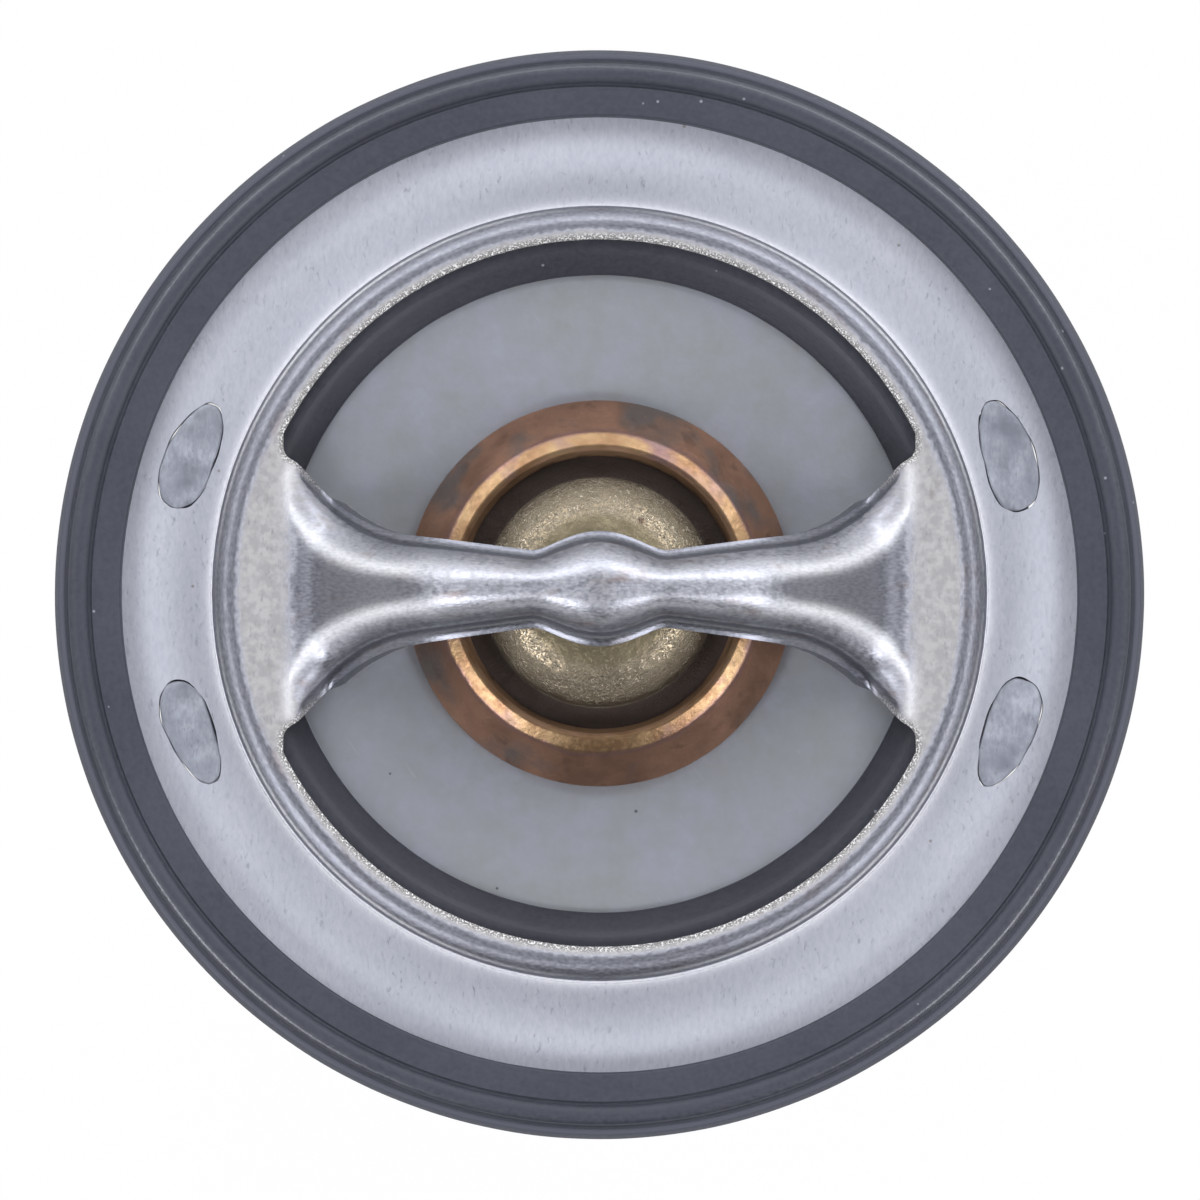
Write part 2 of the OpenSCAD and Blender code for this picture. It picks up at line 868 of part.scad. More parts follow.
module circlip() {
    inner = stem_r - clip_groove + hold_gap;
    color("dimgray")
        rotate([0, 0, clip_gap / 2])
            rotate_extrude(angle = 360 - clip_gap)
                translate([inner, clip_z - clip_t])
                    square([clip_r - inner, clip_t]);
}

flange_bridge();
rim_gasket();
lower_yoke();
valve_plate();
valve_seal();
element_cup();
wax_charge();
rubber_boot();
guide();
piston();
main_spring();
bypass_stem();
bypass_spring();
bypass_plate();
bypass_washer();
circlip();
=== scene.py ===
"""Looks of an engine thermostat insert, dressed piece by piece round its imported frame."""

import logging
import math
from collections.abc import Sequence
from dataclasses import dataclass
from enum import Enum

import bmesh
import bpy
import numpy as np
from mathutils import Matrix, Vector


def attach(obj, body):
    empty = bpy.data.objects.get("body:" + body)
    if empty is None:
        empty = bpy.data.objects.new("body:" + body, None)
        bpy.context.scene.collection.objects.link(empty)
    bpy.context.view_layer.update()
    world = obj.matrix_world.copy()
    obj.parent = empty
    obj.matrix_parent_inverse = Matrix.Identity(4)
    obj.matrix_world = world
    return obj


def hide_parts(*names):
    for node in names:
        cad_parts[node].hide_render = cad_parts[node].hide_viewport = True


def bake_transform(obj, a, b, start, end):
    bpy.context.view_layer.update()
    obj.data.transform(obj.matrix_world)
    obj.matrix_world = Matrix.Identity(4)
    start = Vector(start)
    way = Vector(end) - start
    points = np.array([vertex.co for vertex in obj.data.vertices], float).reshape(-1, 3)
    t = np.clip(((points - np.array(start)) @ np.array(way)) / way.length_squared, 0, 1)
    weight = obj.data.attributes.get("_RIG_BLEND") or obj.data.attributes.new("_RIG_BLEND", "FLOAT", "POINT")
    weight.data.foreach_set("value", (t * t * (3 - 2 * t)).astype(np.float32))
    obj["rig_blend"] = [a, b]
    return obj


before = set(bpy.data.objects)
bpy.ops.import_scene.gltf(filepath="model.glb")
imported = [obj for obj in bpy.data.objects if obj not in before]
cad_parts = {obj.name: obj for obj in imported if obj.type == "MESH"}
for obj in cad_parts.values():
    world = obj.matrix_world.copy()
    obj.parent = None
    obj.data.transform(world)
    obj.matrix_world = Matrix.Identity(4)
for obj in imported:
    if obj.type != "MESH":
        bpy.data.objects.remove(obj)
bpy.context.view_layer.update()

MM = 0.001
log = logging.getLogger("thermostat")

Point = tuple[float, float]
Corner = tuple[float, float, float]
Socket = bpy.types.NodeSocket


class Body(Enum):
    """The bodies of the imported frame."""

    FRAME = "frame"
    VALVE = "valve"
    BYPASS = "bypass"


def linear(hex_code: str) -> tuple[float, float, float, float]:
    """Turns an sRGB hex colour to linear light.

    Args:
        hex_code: Six hex digits.

    Returns:
        Linear red, green, blue and an alpha of 1.
    """
    levels = [int(hex_code[i:i + 2], 16) / 255 for i in (0, 2, 4)]
    light = [c / 12.92 if c <= 0.04045 else ((c + 0.055) / 1.055) ** 2.4 for c in levels]
    return (light[0], light[1], light[2], 1.0)


def add_node(
    tree: bpy.types.NodeTree, kind: str, settings: dict | None = None, links: dict | None = None
) -> bpy.types.Node:
    """Adds a node with its settings and links.

    Args:
        tree: The tree that takes the node.
        kind: The node's type.
        settings: Property names, or input names or numbers, with their values.
        links: Input names or numbers, with the sockets that feed them.

    Returns:
        The new node.
    """
    node = tree.nodes.new(kind)
    for key, value in (settings or {}).items():
        if isinstance(key, str) and hasattr(node, key):
            setattr(node, key, value)
        else:
            node.inputs[key].default_value = value
    for key, source in (links or {}).items():
        tree.links.new(source, node.inputs[key])
    return node


class Recipe:
    """A material in the making, on the piece's own Object coordinates."""

    def __init__(self, name: str) -> None:
        """Starts a material with a Principled shader.

        Args:
            name: The material's name.
        """
        self.material = bpy.data.materials.new(name)
        self.material.use_nodes = True
        self.tree = self.material.node_tree
        self.tree.nodes.clear()
        self.shader = self.add("ShaderNodeBsdfPrincipled")
        self.add("ShaderNodeOutputMaterial", links={"Surface": self.shader.outputs[0]})
        self.place = self.add("ShaderNodeTexCoord").outputs["Object"]

    def add(self, kind: str, settings: dict | None = None, links: dict | None = None) -> bpy.types.Node:
        """Adds a node to this material, as add_node does."""
        return add_node(self.tree, kind, settings, links)

    def mottle(
        self,
        size: float,
        span: Point = (0.35, 0.65),
        seed: float = 0.0,
        stretch: tuple[float, float, float] = (1, 1, 1),
        place: Socket | None = None,
        detail: float = 3.0,
        bend: float = 0.0,
    ) -> Socket:
        """Makes soft irregular patches.

        Args:
            size: Size of a patch in millimetres.
            span: The noise levels that become 0 and 1.
            seed: Picks one pattern of many.
            stretch: Length of a patch along each axis, as a multiple of its size.
            place: Coordinates in metres, or None for Object coordinates.
            detail: Number of finer layers.
            bend: How far the pattern is bent.

        Returns:
            A level from 0 to 1.
        """
        scale = tuple(1 / (size * MM * k) for k in stretch)
        spot = self.add("ShaderNodeMapping", {"Scale": scale}, {"Vector": place or self.place})
        cloud = self.add(
            "ShaderNodeTexNoise",
            {"noise_dimensions": "4D", "W": seed, "Scale": 1.0, "Detail": detail, "Distortion": bend},
            {"Vector": spot.outputs[0]},
        )
        level = self.add(
            "ShaderNodeMapRange", {"From Min": span[0], "From Max": span[1]}, {"Value": cloud.outputs[0]}
        )
        return level.outputs[0]

    def specks(self, spacing: float, radius: float, share: float, seed: float = 0.0) -> Socket:
        """Makes small round specks.

        Args:
            spacing: Distance between places for a speck, in millimetres.
            radius: Radius of a speck as a share of the spacing.
            share: Share of the places that hold a speck.
            seed: Picks one pattern of many.

        Returns:
            A mask, 1 on a speck.
        """
        spot = self.add(
            "ShaderNodeMapping",
            {"Scale": (1 / (spacing * MM),) * 3, "Location": (seed, seed, seed)},
            {"Vector": self.place},
        )
        cells = self.add("ShaderNodeTexVoronoi", {"Scale": 1.0}, {"Vector": spot.outputs[0]})
        near = self.add(
            "ShaderNodeMapRange",
            {"From Min": radius, "From Max": radius * 0.6},
            {"Value": cells.outputs["Distance"]},
        )
        picks = self.add("ShaderNodeSeparateColor", links={"Color": cells.outputs["Color"]})
        chosen = self.add(
            "ShaderNodeMath", {"operation": "LESS_THAN", 1: share}, {0: picks.outputs[0]}
        )
        both = self.add(
            "ShaderNodeMath", {"operation": "MULTIPLY"}, {0: near.outputs[0], 1: chosen.outputs[0]}
        )
        return both.outputs[0]

    def tint(self, base: str | Socket, other: str | Socket, share: float | Socket) -> Socket:
        """Lays one colour over another.

        Args:
            base: Hex colour or socket below.
            other: Hex colour or socket above.
            share: How much of the other colour shows.

        Returns:
            The mixed colour.
        """
        settings: dict = {"data_type": "RGBA"}
        links: dict = {}
        for place, value in ((0, share), (6, base), (7, other)):
            if isinstance(value, str):
                settings[place] = linear(value)
            elif isinstance(value, (int, float)):
                settings[place] = value
            else:
                links[place] = value
        return self.add("ShaderNodeMix", settings, links).outputs[2]

    def scaled(self, value: Socket, times: float | Socket, plus: float | Socket = 0.0) -> Socket:
        """Multiplies and adds, and keeps the result from 0 to 1.

        Args:
            value: What is scaled.
            times: Its factor.
            plus: What is added to it.

        Returns:
            The result.
        """
        settings: dict = {"operation": "MULTIPLY_ADD", "use_clamp": True}
        links: dict = {0: value}
        for place, part in ((1, times), (2, plus)):
            if isinstance(part, (int, float)):
                settings[place] = part
            else:
                links[place] = part
        return self.add("ShaderNodeMath", settings, links).outputs[0]

    def radius(self) -> Socket:
        """Measures the distance from the part's axis.

        Returns:
            The distance in metres.
        """
        flat = self.add(
            "ShaderNodeVectorMath", {"operation": "MULTIPLY", 1: (1, 1, 0)}, {0: self.place}
        )
        reach = self.add("ShaderNodeVectorMath", {"operation": "LENGTH"}, {0: flat.outputs[0]})
        return reach.outputs["Value"]

    def band(self, value: Socket, low: float, high: float, soft: float) -> Socket:
        """Makes a mask that is 1 between two values.

        Args:
            value: What is measured.
            low: Lower end.
            high: Upper end.
            soft: Width over which the mask fades.

        Returns:
            The mask.
        """
        rise = self.add(
            "ShaderNodeMapRange", {"From Min": low - soft, "From Max": low + soft}, {"Value": value}
        )
        fall = self.add(
            "ShaderNodeMapRange", {"From Min": high + soft, "From Max": high - soft}, {"Value": value}
        )
        both = self.add(
            "ShaderNodeMath", {"operation": "MULTIPLY"}, {0: rise.outputs[0], 1: fall.outputs[0]}
        )
        return both.outputs[0]

    def relief(self, *layers: tuple[Socket, float]) -> None:
        """Raises the surface by layers of height.

        Args:
            layers: Pairs of a height from 0 to 1 and its depth in millimetres.
        """
        normal = None
        for height, depth in layers:
            links = {"Height": height}
            if normal is not None:
                links["Normal"] = normal
            normal = self.add(
                "ShaderNodeBump", {"Strength": 1.0, "Distance": depth * MM}, links
            ).outputs[0]
        self.tree.links.new(normal, self.shader.inputs["Normal"])

    def feed(self, **sockets: Socket) -> None:
        """Links sockets to the shader's inputs, named with _ for a space."""
        for key, source in sockets.items():
            self.tree.links.new(source, self.shader.inputs[key.replace("_", " ")])

    def fix(self, **values: float) -> None:
        """Sets values on the shader's inputs, named with _ for a space."""
        for key, value in values.items():
            self.shader.inputs[key.replace("_", " ")].default_value = value


@dataclass(frozen=True)
class MouldedRubber:
    """Moulded nitrile rubber: a dark blue-grey satin skin with mould grain, pale dust and a lighter outer
    rim that is painted highlight.
    """

    name: str = "moulded_nitrile_rubber"
    shade: str = "33353E"
    worn: str = "3C3E47"
    dust: str = "8E9097"
    roughness: float = 0.54
    grain: float = 0.3
    dust_share: float = 0.05
    # Lighter colour past edge_mm: painted highlight on the gasket's outer lip.
    edge: str = "4C4E57"
    edge_mm: float = 33.35
    bead_mm: Point = (32.62, 33.2)
    ring_depth: float = 0.012

    def build(self) -> bpy.types.Material:
        """Builds the material.

        Returns:
            The material.
        """
        recipe = Recipe(self.name)
        broad = recipe.mottle(9.0, (0.3, 0.7), 1.0)
        fine = recipe.mottle(self.grain, (0.3, 0.7), 2.0, detail=2.0)
        skin = recipe.tint(self.shade, self.worn, broad)
        skin = recipe.tint(skin, self.dust, recipe.scaled(fine, 0.05))
        # Painted highlight: the outer lip lightened.
        rim = recipe.band(recipe.radius(), self.edge_mm * MM, 40 * MM, 0.15 * MM)
        skin = recipe.tint(skin, self.edge, rim)
        flecks = recipe.specks(0.9, 0.13, self.dust_share, 3.0)
        skin = recipe.tint(skin, self.dust, recipe.scaled(flecks, 0.8))
        around = recipe.add("ShaderNodeCombineXYZ", links={0: recipe.radius()}).outputs[0]
        rings = recipe.mottle(0.3, (0.3, 0.7), 6.0, place=around, detail=3.0)
        low, high = self.bead_mm
        bead = recipe.band(recipe.radius(), low * MM, high * MM, 0.1 * MM)
        rough = recipe.scaled(fine, 0.12, self.roughness - 0.06)
        rough = recipe.scaled(bead, -0.2, rough)
        recipe.feed(Base_Color=skin, Roughness=rough, Specular_IOR_Level=recipe.scaled(bead, 0.3, 0.42))
        recipe.relief((fine, 0.006), (recipe.mottle(2.5, (0.3, 0.7), 5.0), 0.02), (rings, self.ring_depth))
        return recipe.material


@dataclass(frozen=True)
class PlainMetal:
    """A bare metal part: its own colour with faint clouds, grain and fine handling scratches."""

    name: str
    shade: str
    cloud: str
    speck: str = "373632"
    roughness: float = 0.4
    spread: float = 0.12
    metallic: float = 1.0
    grain: float = 0.3
    grain_depth: float = 0.004
    speck_share: float = 0.04
    along: tuple[float, float, float] = (1, 1, 1)

    def build(self) -> bpy.types.Material:
        """Builds the material.

        Returns:
            The material.
        """
        recipe = Recipe(self.name)
        clouds = recipe.mottle(6.0, (0.3, 0.7), 1.0)
        grain = recipe.mottle(self.grain, (0.3, 0.7), 2.0, self.along)
        colour = recipe.tint(self.shade, self.cloud, clouds)
        colour = recipe.tint(colour, self.cloud, recipe.scaled(grain, 0.35))
        dots = recipe.specks(1.4, 0.1, self.speck_share, 4.0)
        colour = recipe.tint(colour, self.speck, recipe.scaled(dots, 0.7))
        rough = recipe.scaled(grain, self.spread, self.roughness - self.spread / 2)
        recipe.feed(Base_Color=colour, Roughness=rough)
        recipe.fix(Metallic=self.metallic)
        recipe.relief((grain, self.grain_depth))
        return recipe.material


@dataclass(frozen=True)
class PressedSteel:
    """Zinc-flashed pressed steel: grainy matte flats, drawn and burnished bends, cut edges with painted
    glints, painted highlights along the folds and painted dark reflections on the steep bends.
    """

    name: str = "pressed_zinc_flashed_steel"
    matte: str = "BDBEC4"
    matte_low: str = "A4A7B0"
    matte_dark: str = "6A6D76"
    plateau: str = "ABA8A4"
    plateau_mm: float = 22.75
    satin: str = "B9BAC1"
    satin_low: str = "90929C"
    # Dark colours for burnish past about 0.6: painted dark reflection on the steep legs, the drawn shoulder,
    # the crown line and the lip, and painted shade on the lower flank.
    rubbed_and_painted_dark: str = "65676F"
    rubbed_and_painted_dark_low: str = "474850"
    # White for the painted highlights along the bridge's folds, at its feet and on the collar's fillet; also
    # used for fine bright flecks in the satin.
    painted_highlight: str = "FFFFFF"
    # Near-white on cut edges: bare cut metal with painted glints.
    sheared: str = "FFFEFA"
    torn: str = "918E89"
    stain: str = "695D4F"
    copper: str = "8E6957"
    dulled: str = "7D7B78"
    blotch: float = 0.35
    blotch_mm: float = 7.0

    def build(self) -> bpy.types.Material:
        """Builds the material.

        Returns:
            The material.
        """
        recipe = Recipe(self.name)
        burnish_and_painted_dark, sheared, painted_highlight = (
            recipe.add("ShaderNodeAttribute", {"attribute_name": mark}).outputs["Fac"]
            for mark in ("burnish_and_painted_dark", "sheared", "painted_highlight")
        )
        drawn = recipe.add("ShaderNodeAttribute", {"attribute_name": "drawn"}).outputs["Vector"]

        grain = recipe.mottle(0.28, (0.35, 0.65), 2.0, (1, 2.2, 1), detail=3.0, bend=0.8)
        strokes = recipe.mottle(0.26, (0.58, 0.74), 4.0, (1, 2.4, 1), detail=3.0, bend=0.8)
        clouds = recipe.mottle(self.blotch_mm, (0.3, 0.7), 3.0)
        patches = recipe.mottle(2.6, (0.38, 0.66), 5.0)
        matte = recipe.tint(self.matte, self.matte_low, recipe.scaled(grain, 0.5))
        matte = recipe.tint(matte, self.matte_low, recipe.scaled(clouds, self.blotch))
        inside = recipe.band(recipe.radius(), 0, self.plateau_mm * MM, 0.1 * MM)
        soiled = recipe.scaled(recipe.mottle(0.5, (0.4, 0.6), 13.0, detail=3.0), 0.5)
        bare = recipe.tint(self.plateau, self.dulled, soiled)
        marks = recipe.mottle(1.3, (0.62, 0.72), 14.0, (0.6, 1.6, 1), detail=4.0)
        bare = recipe.tint(bare, self.stain, recipe.scaled(marks, 0.4))
        matte = recipe.tint(matte, bare, recipe.scaled(inside, 0.85))
        worn = recipe.scaled(strokes, recipe.scaled(patches, 0.6, 0.12))
        matte = recipe.tint(matte, self.matte_dark, worn)
        pits = recipe.specks(1.7, 0.08, 0.16, 6.0)
        matte = recipe.tint(matte, self.stain, recipe.scaled(pits, 0.6))

        ragged = recipe.mottle(0.5, (0.3, 0.7), 11.0, detail=3.0)
        edge = recipe.add(
            "ShaderNodeMath", {"operation": "SUBTRACT", 0: 1.0, "use_clamp": True}, {1: burnish_and_painted_dark}
        ).outputs[0]
        edge = recipe.scaled(edge, burnish_and_painted_dark)
        swing = recipe.add("ShaderNodeMath", {"operation": "MULTIPLY"}, {0: ragged, 1: edge}).outputs[0]
        rub_and_painted_dark = recipe.scaled(edge, -1.0, burnish_and_painted_dark)
        rub_and_painted_dark = recipe.scaled(swing, 2.0, rub_and_painted_dark)

        streaks = recipe.mottle(0.22, (0.3, 0.7), 7.0, (9, 1, 1), drawn, 2.0)
        broad = recipe.mottle(1.4, (0.25, 0.75), 8.0, (3, 1, 1), drawn)
        fine = recipe.mottle(0.16, (0.35, 0.65), 9.0, (2, 1, 1), drawn, 1.5)
        satin = recipe.tint(self.satin, self.satin_low, recipe.scaled(streaks, 0.3))
        satin = recipe.tint(satin, self.satin_low, recipe.scaled(broad, 0.4))
        # Fine bright flecks in the satin, in the same white as the painted highlights.
        satin = recipe.tint(satin, self.painted_highlight, recipe.scaled(fine, 0.2))
        # Painted dark reflection for the most burnished parts.
        dark = recipe.tint(self.rubbed_and_painted_dark, self.rubbed_and_painted_dark_low, recipe.scaled(broad, 0.7))
        dark = recipe.tint(dark, self.satin, recipe.scaled(fine, 0.14))
        scuffs = recipe.mottle(1.1, (0.58, 0.70), 12.0, (3, 1, 1), drawn, 4.0)
        satin = recipe.tint(satin, self.copper, recipe.scaled(scuffs, 0.45))
        crown = recipe.band(recipe.radius(), -MM, 0.7 * MM, 0.35 * MM)
        satin = recipe.tint(satin, self.dulled, recipe.scaled(crown, 0.3))

        # Burnish from 0 to 0.5 turns matte into drawn satin; past 0.58 it brings in the painted dark.
        first = recipe.add("ShaderNodeMapRange", {"From Max": 0.5}, {"Value": rub_and_painted_dark}).outputs[0]
        last = recipe.add(
            "ShaderNodeMapRange", {"From Min": 0.58, "From Max": 1.2}, {"Value": rub_and_painted_dark}
        ).outputs[0]
        colour = recipe.tint(matte, satin, first)
        colour = recipe.tint(colour, dark, last)
        # Painted highlight: white laid on where the painted highlight mark is set, made less metallic so
        # that it stays bright under any lamp.
        gleam = recipe.scaled(painted_highlight, recipe.scaled(fine, 0.3, 0.75))
        colour = recipe.tint(colour, self.painted_highlight, gleam)
        # Cut edges: grey with crumbs of near-white that are painted glints.
        crumbs = recipe.mottle(0.12, (0.45, 0.58), 10.0, detail=1.5)
        torn = recipe.tint(self.torn, self.sheared, crumbs)
        colour = recipe.tint(colour, torn, sheared)

        metal = recipe.scaled(first, 0.85, 0.1)
        metal = recipe.scaled(last, 0.05, metal)
        metal = recipe.scaled(gleam, -0.8, metal)
        rough = recipe.scaled(grain, 0.10, 0.50)
        smooth = recipe.scaled(last, -0.08, recipe.scaled(fine, 0.10, 0.39))
        smooth = recipe.scaled(recipe.band(recipe.radius(), 18 * MM, 24.3 * MM, 0.4 * MM), 0.12, smooth)
        rough = recipe.add("ShaderNodeMix", links={0: first, 2: rough, 3: smooth}).outputs[0]
        recipe.feed(Base_Color=colour, Roughness=rough, Metallic=metal)
        quiet = recipe.add(
            "ShaderNodeMath", {"operation": "SUBTRACT", 0: 1.0, "use_clamp": True}, {1: first}
        ).outputs[0]
        recipe.relief(
            (recipe.scaled(grain, quiet), 0.008),
            (recipe.scaled(strokes, quiet), 0.006),
            (recipe.scaled(fine, first), 0.006),
            (recipe.scaled(crumbs, sheared), 0.09),
        )
        return recipe.material


@dataclass(frozen=True)
class TintedCopper:
    """Soldered copper alloy cup, coloured by heat: brown slope, golden crest; painted shade darkens the
    inner wall into the groove.
    """

    name: str = "heat_tinted_copper_alloy"
    slope: str = "AB836B"
    slope_low: str = "856552"
    grey: str = "696866"
    crest: str = "A38763"
    crest_low: str = "846247"
    violet: str = "715A6D"
    inner: str = "907258"
    # Dark brown for browned patches on the slope, and painted shade at the foot of the inner wall.
    groove: str = "574439"
    crest_mm: Point = (8.85, 9.9)

    def build(self) -> bpy.types.Material:
        """Builds the material.

        Returns:
            The material.
        """
        recipe = Recipe(self.name)
        sway = recipe.add(
            "ShaderNodeMath", {"operation": "MULTIPLY_ADD", 1: 0.5 * MM, 2: -0.25 * MM},
            {0: recipe.mottle(2.2, (0.25, 0.75), 8.0)},
        )
        reach = recipe.add(
            "ShaderNodeMath", {"operation": "ADD"}, {0: recipe.radius(), 1: sway.outputs[0]}
        ).outputs[0]
        clouds = recipe.mottle(2.6, (0.34, 0.66), 1.0)
        grain = recipe.mottle(0.35, (0.3, 0.7), 2.0, detail=4.0)
        slope = recipe.tint(self.slope, self.slope_low, clouds)
        slope = recipe.tint(slope, self.slope_low, recipe.scaled(grain, 0.4))
        greyed = recipe.mottle(4.2, (0.53, 0.66), 4.0)
        slope = recipe.tint(slope, self.grey, recipe.scaled(greyed, 0.75))
        browned = recipe.mottle(1.5, (0.58, 0.68), 9.0)
        slope = recipe.tint(slope, self.groove, recipe.scaled(browned, 0.4))
        crest = recipe.tint(self.crest, self.crest_low, recipe.mottle(1.8, (0.35, 0.7), 5.0))
        crest = recipe.tint(crest, self.violet, recipe.scaled(recipe.mottle(3.0, (0.55, 0.7), 6.0), 0.5))
        low, high = self.crest_mm
        on_crest = recipe.band(reach, low * MM, high * MM, 0.16 * MM)
        colour = recipe.tint(slope, crest, on_crest)
        rim = recipe.band(reach, (high - 0.02) * MM, (high + 0.2) * MM, 0.14 * MM)
        colour = recipe.tint(colour, self.violet, recipe.scaled(rim, 0.35))
        inside = recipe.band(reach, 8.2 * MM, low * MM, 0.1 * MM)
        colour = recipe.tint(colour, self.inner, inside)
        # Painted shade where the inner wall goes down into the groove.
        deep = recipe.band(reach, 0, 8.45 * MM, 0.1 * MM)
        colour = recipe.tint(colour, self.groove, deep)
        nicks = recipe.specks(0.7, 0.12, 0.12, 6.0)
        colour = recipe.tint(colour, self.crest, recipe.scaled(nicks, 0.45))
        rough = recipe.scaled(grain, 0.14, 0.31)
        metal = recipe.scaled(inside, -0.4, recipe.scaled(on_crest, 0.1, 0.76))
        recipe.feed(Base_Color=colour, Roughness=rough, Metallic=metal)
        recipe.relief((grain, 0.008), (recipe.mottle(0.9, (0.3, 0.7), 7.0), 0.012))
        return recipe.material


@dataclass(frozen=True)
class TumbledBrass:
    """Tumbled brass: short bright nicks on a dull yellow skin, a darker and greener top that is painted
    shade, and painted shade in the groove.
    """

    name: str = "tumbled_brass"
    bright: str = "C0B6A3"
    dull: str = "8D816B"
    # Darker, greener colour for the top: painted shade under the bridge.
    olive: str = "786F57"
    brown: str = "534034"
    # Dark brown painted shade in the groove round the dome.
    groove: str = "453831"
    top_mm: float = 4.7
    groove_mm: float = 7.14

    def build(self) -> bpy.types.Material:
        """Builds the material.

        Returns:
            The material.
        """
        recipe = Recipe(self.name)
        reach = recipe.radius()
        nicks = []
        for seed, turn in ((1.0, 0.3), (2.0, 1.4), (3.0, 2.5)):
            turned = recipe.add(
                "ShaderNodeMapping", {"Rotation": (0.2, 0.1, turn)}, {"Vector": recipe.place}
            )
            nicks.append(
                recipe.mottle(0.09, (0.54, 0.68), seed, (6, 1, 1), turned.outputs[0], 2.0, 1.2)
            )
        marks = recipe.add("ShaderNodeMath", {"operation": "MAXIMUM"}, {0: nicks[0], 1: nicks[1]})
        marks = recipe.add("ShaderNodeMath", {"operation": "MAXIMUM"}, {0: marks.outputs[0], 1: nicks[2]})
        outer = recipe.scaled(recipe.band(reach, self.top_mm * MM, 8 * MM, 0.5 * MM), 0.7, 0.25)
        scratches = recipe.scaled(marks.outputs[0], outer)
        clouds = recipe.mottle(1.6, (0.35, 0.65), 3.0)
        colour = recipe.tint(self.dull, self.bright, scratches)
        colour = recipe.tint(colour, self.dull, recipe.scaled(clouds, 0.4))
        # Painted shade on the dome's top.
        top = recipe.band(reach, 0, self.top_mm * MM, 0.22 * MM)
        colour = recipe.tint(colour, self.olive, recipe.scaled(top, 0.7))
        spots = recipe.specks(2.4, 0.14, 0.10, 5.0)
        colour = recipe.tint(colour, self.brown, recipe.scaled(spots, 0.7))
        # Painted shade in the groove: dark, rougher and hardly metallic.
        sunk = recipe.band(reach, self.groove_mm * MM, 14 * MM, 0.06 * MM)
        colour = recipe.tint(colour, self.groove, sunk)
        rough = recipe.scaled(scratches, -0.08, recipe.scaled(outer, -0.16, 0.47))
        recipe.feed(Base_Color=colour, Roughness=recipe.scaled(sunk, 0.2, rough))
        recipe.feed(Metallic=recipe.scaled(sunk, -0.7, 1.0))
        recipe.relief((scratches, 0.024), (clouds, 0.05))
        return recipe.material


@dataclass(frozen=True)
class HandledPlate:
    """Phosphated steel plate: even mid grey with faint yellow-green clouds, specks and scratches."""

    name: str = "phosphated_plate_steel"
    shade: str = "8A8C95"
    cloud: str = "80837F"
    dark: str = "38383C"
    pale: str = "A2A3A7"

    def build(self) -> bpy.types.Material:
        """Builds the material.

        Returns:
            The material.
        """
        recipe = Recipe(self.name)
        clouds = recipe.mottle(4.0, (0.38, 0.7), 1.0)
        grain = recipe.mottle(0.4, (0.3, 0.7), 2.0)
        colour = recipe.tint(self.shade, self.cloud, recipe.scaled(clouds, 0.6))
        colour = recipe.tint(colour, self.pale, recipe.scaled(grain, 0.14))
        small = recipe.mottle(1.1, (0.35, 0.7), 6.0, detail=5.0)
        colour = recipe.tint(colour, self.cloud, recipe.scaled(small, 0.5))
        dots = recipe.specks(2.2, 0.06, 0.16, 3.0)
        colour = recipe.tint(colour, self.dark, recipe.scaled(dots, 0.8))
        turned = recipe.add("ShaderNodeMapping", {"Rotation": (0, 0, 0.9)}, {"Vector": recipe.place})
        lines = recipe.mottle(0.22, (0.74, 0.80), 5.0, (16, 1, 1), turned.outputs[0], 1.0, 0.5)
        colour = recipe.tint(colour, self.pale, recipe.scaled(lines, 0.35))
        recipe.feed(Base_Color=colour, Roughness=recipe.scaled(grain, 0.1, 0.5))
        recipe.fix(Metallic=0.22)
        recipe.relief((grain, 0.006))
        return recipe.material


def mesh_object(name: str, points: np.ndarray, faces: Sequence[Sequence[int]]) -> bpy.types.Object:
    """Makes an object from points in millimetres.

    Args:
        name: The object's name.
        points: Places, one row each.
        faces: Point numbers of each face.

    Returns:
        The object, linked to the scene.
    """
    mesh = bpy.data.meshes.new(name)
    mesh.from_pydata((points * MM).tolist(), [], faces)
    piece = bpy.data.objects.new(name, mesh)
    bpy.context.scene.collection.objects.link(piece)
    return piece


def grid_faces(rows: int, columns: int, closed: bool = False) -> np.ndarray:
    """Numbers the quads of a grid.

    Args:
        rows: Rows of points.
        columns: Points in a row.
        closed: Whether the last row joins the first.

    Returns:
        Four point numbers for each quad.
    """
    row, column = np.meshgrid(
        np.arange(rows if closed else rows - 1), np.arange(columns - 1), indexing="ij"
    )
    here = row * columns + column
    there = (row + 1) % rows * columns + column
    return np.stack([here, there, there + 1, here + 1], -1).reshape(-1, 4)


def settle(piece: bpy.types.Object, sharp: float = 38.0) -> None:
    """Applies a piece's modifiers, turns its faces outwards and shades it smooth.

    Args:
        piece: The piece, with its modifiers still live.
        sharp: Angle in degrees past which an edge stays sharp.
    """
    graph = bpy.context.evaluated_depsgraph_get()
    mesh = bpy.data.meshes.new_from_object(piece.evaluated_get(graph))
    piece.modifiers.clear()
    piece.data = mesh
    shell = bmesh.new()
    shell.from_mesh(mesh)
    bmesh.ops.remove_doubles(shell, verts=shell.verts, dist=0.0005 * MM)
    bmesh.ops.recalc_face_normals(shell, faces=shell.faces)
    shell.to_mesh(mesh)
    shell.free()
    mesh.polygons.foreach_set("use_smooth", [True] * len(mesh.polygons))
    mesh.set_sharp_from_angle(angle=math.radians(sharp))


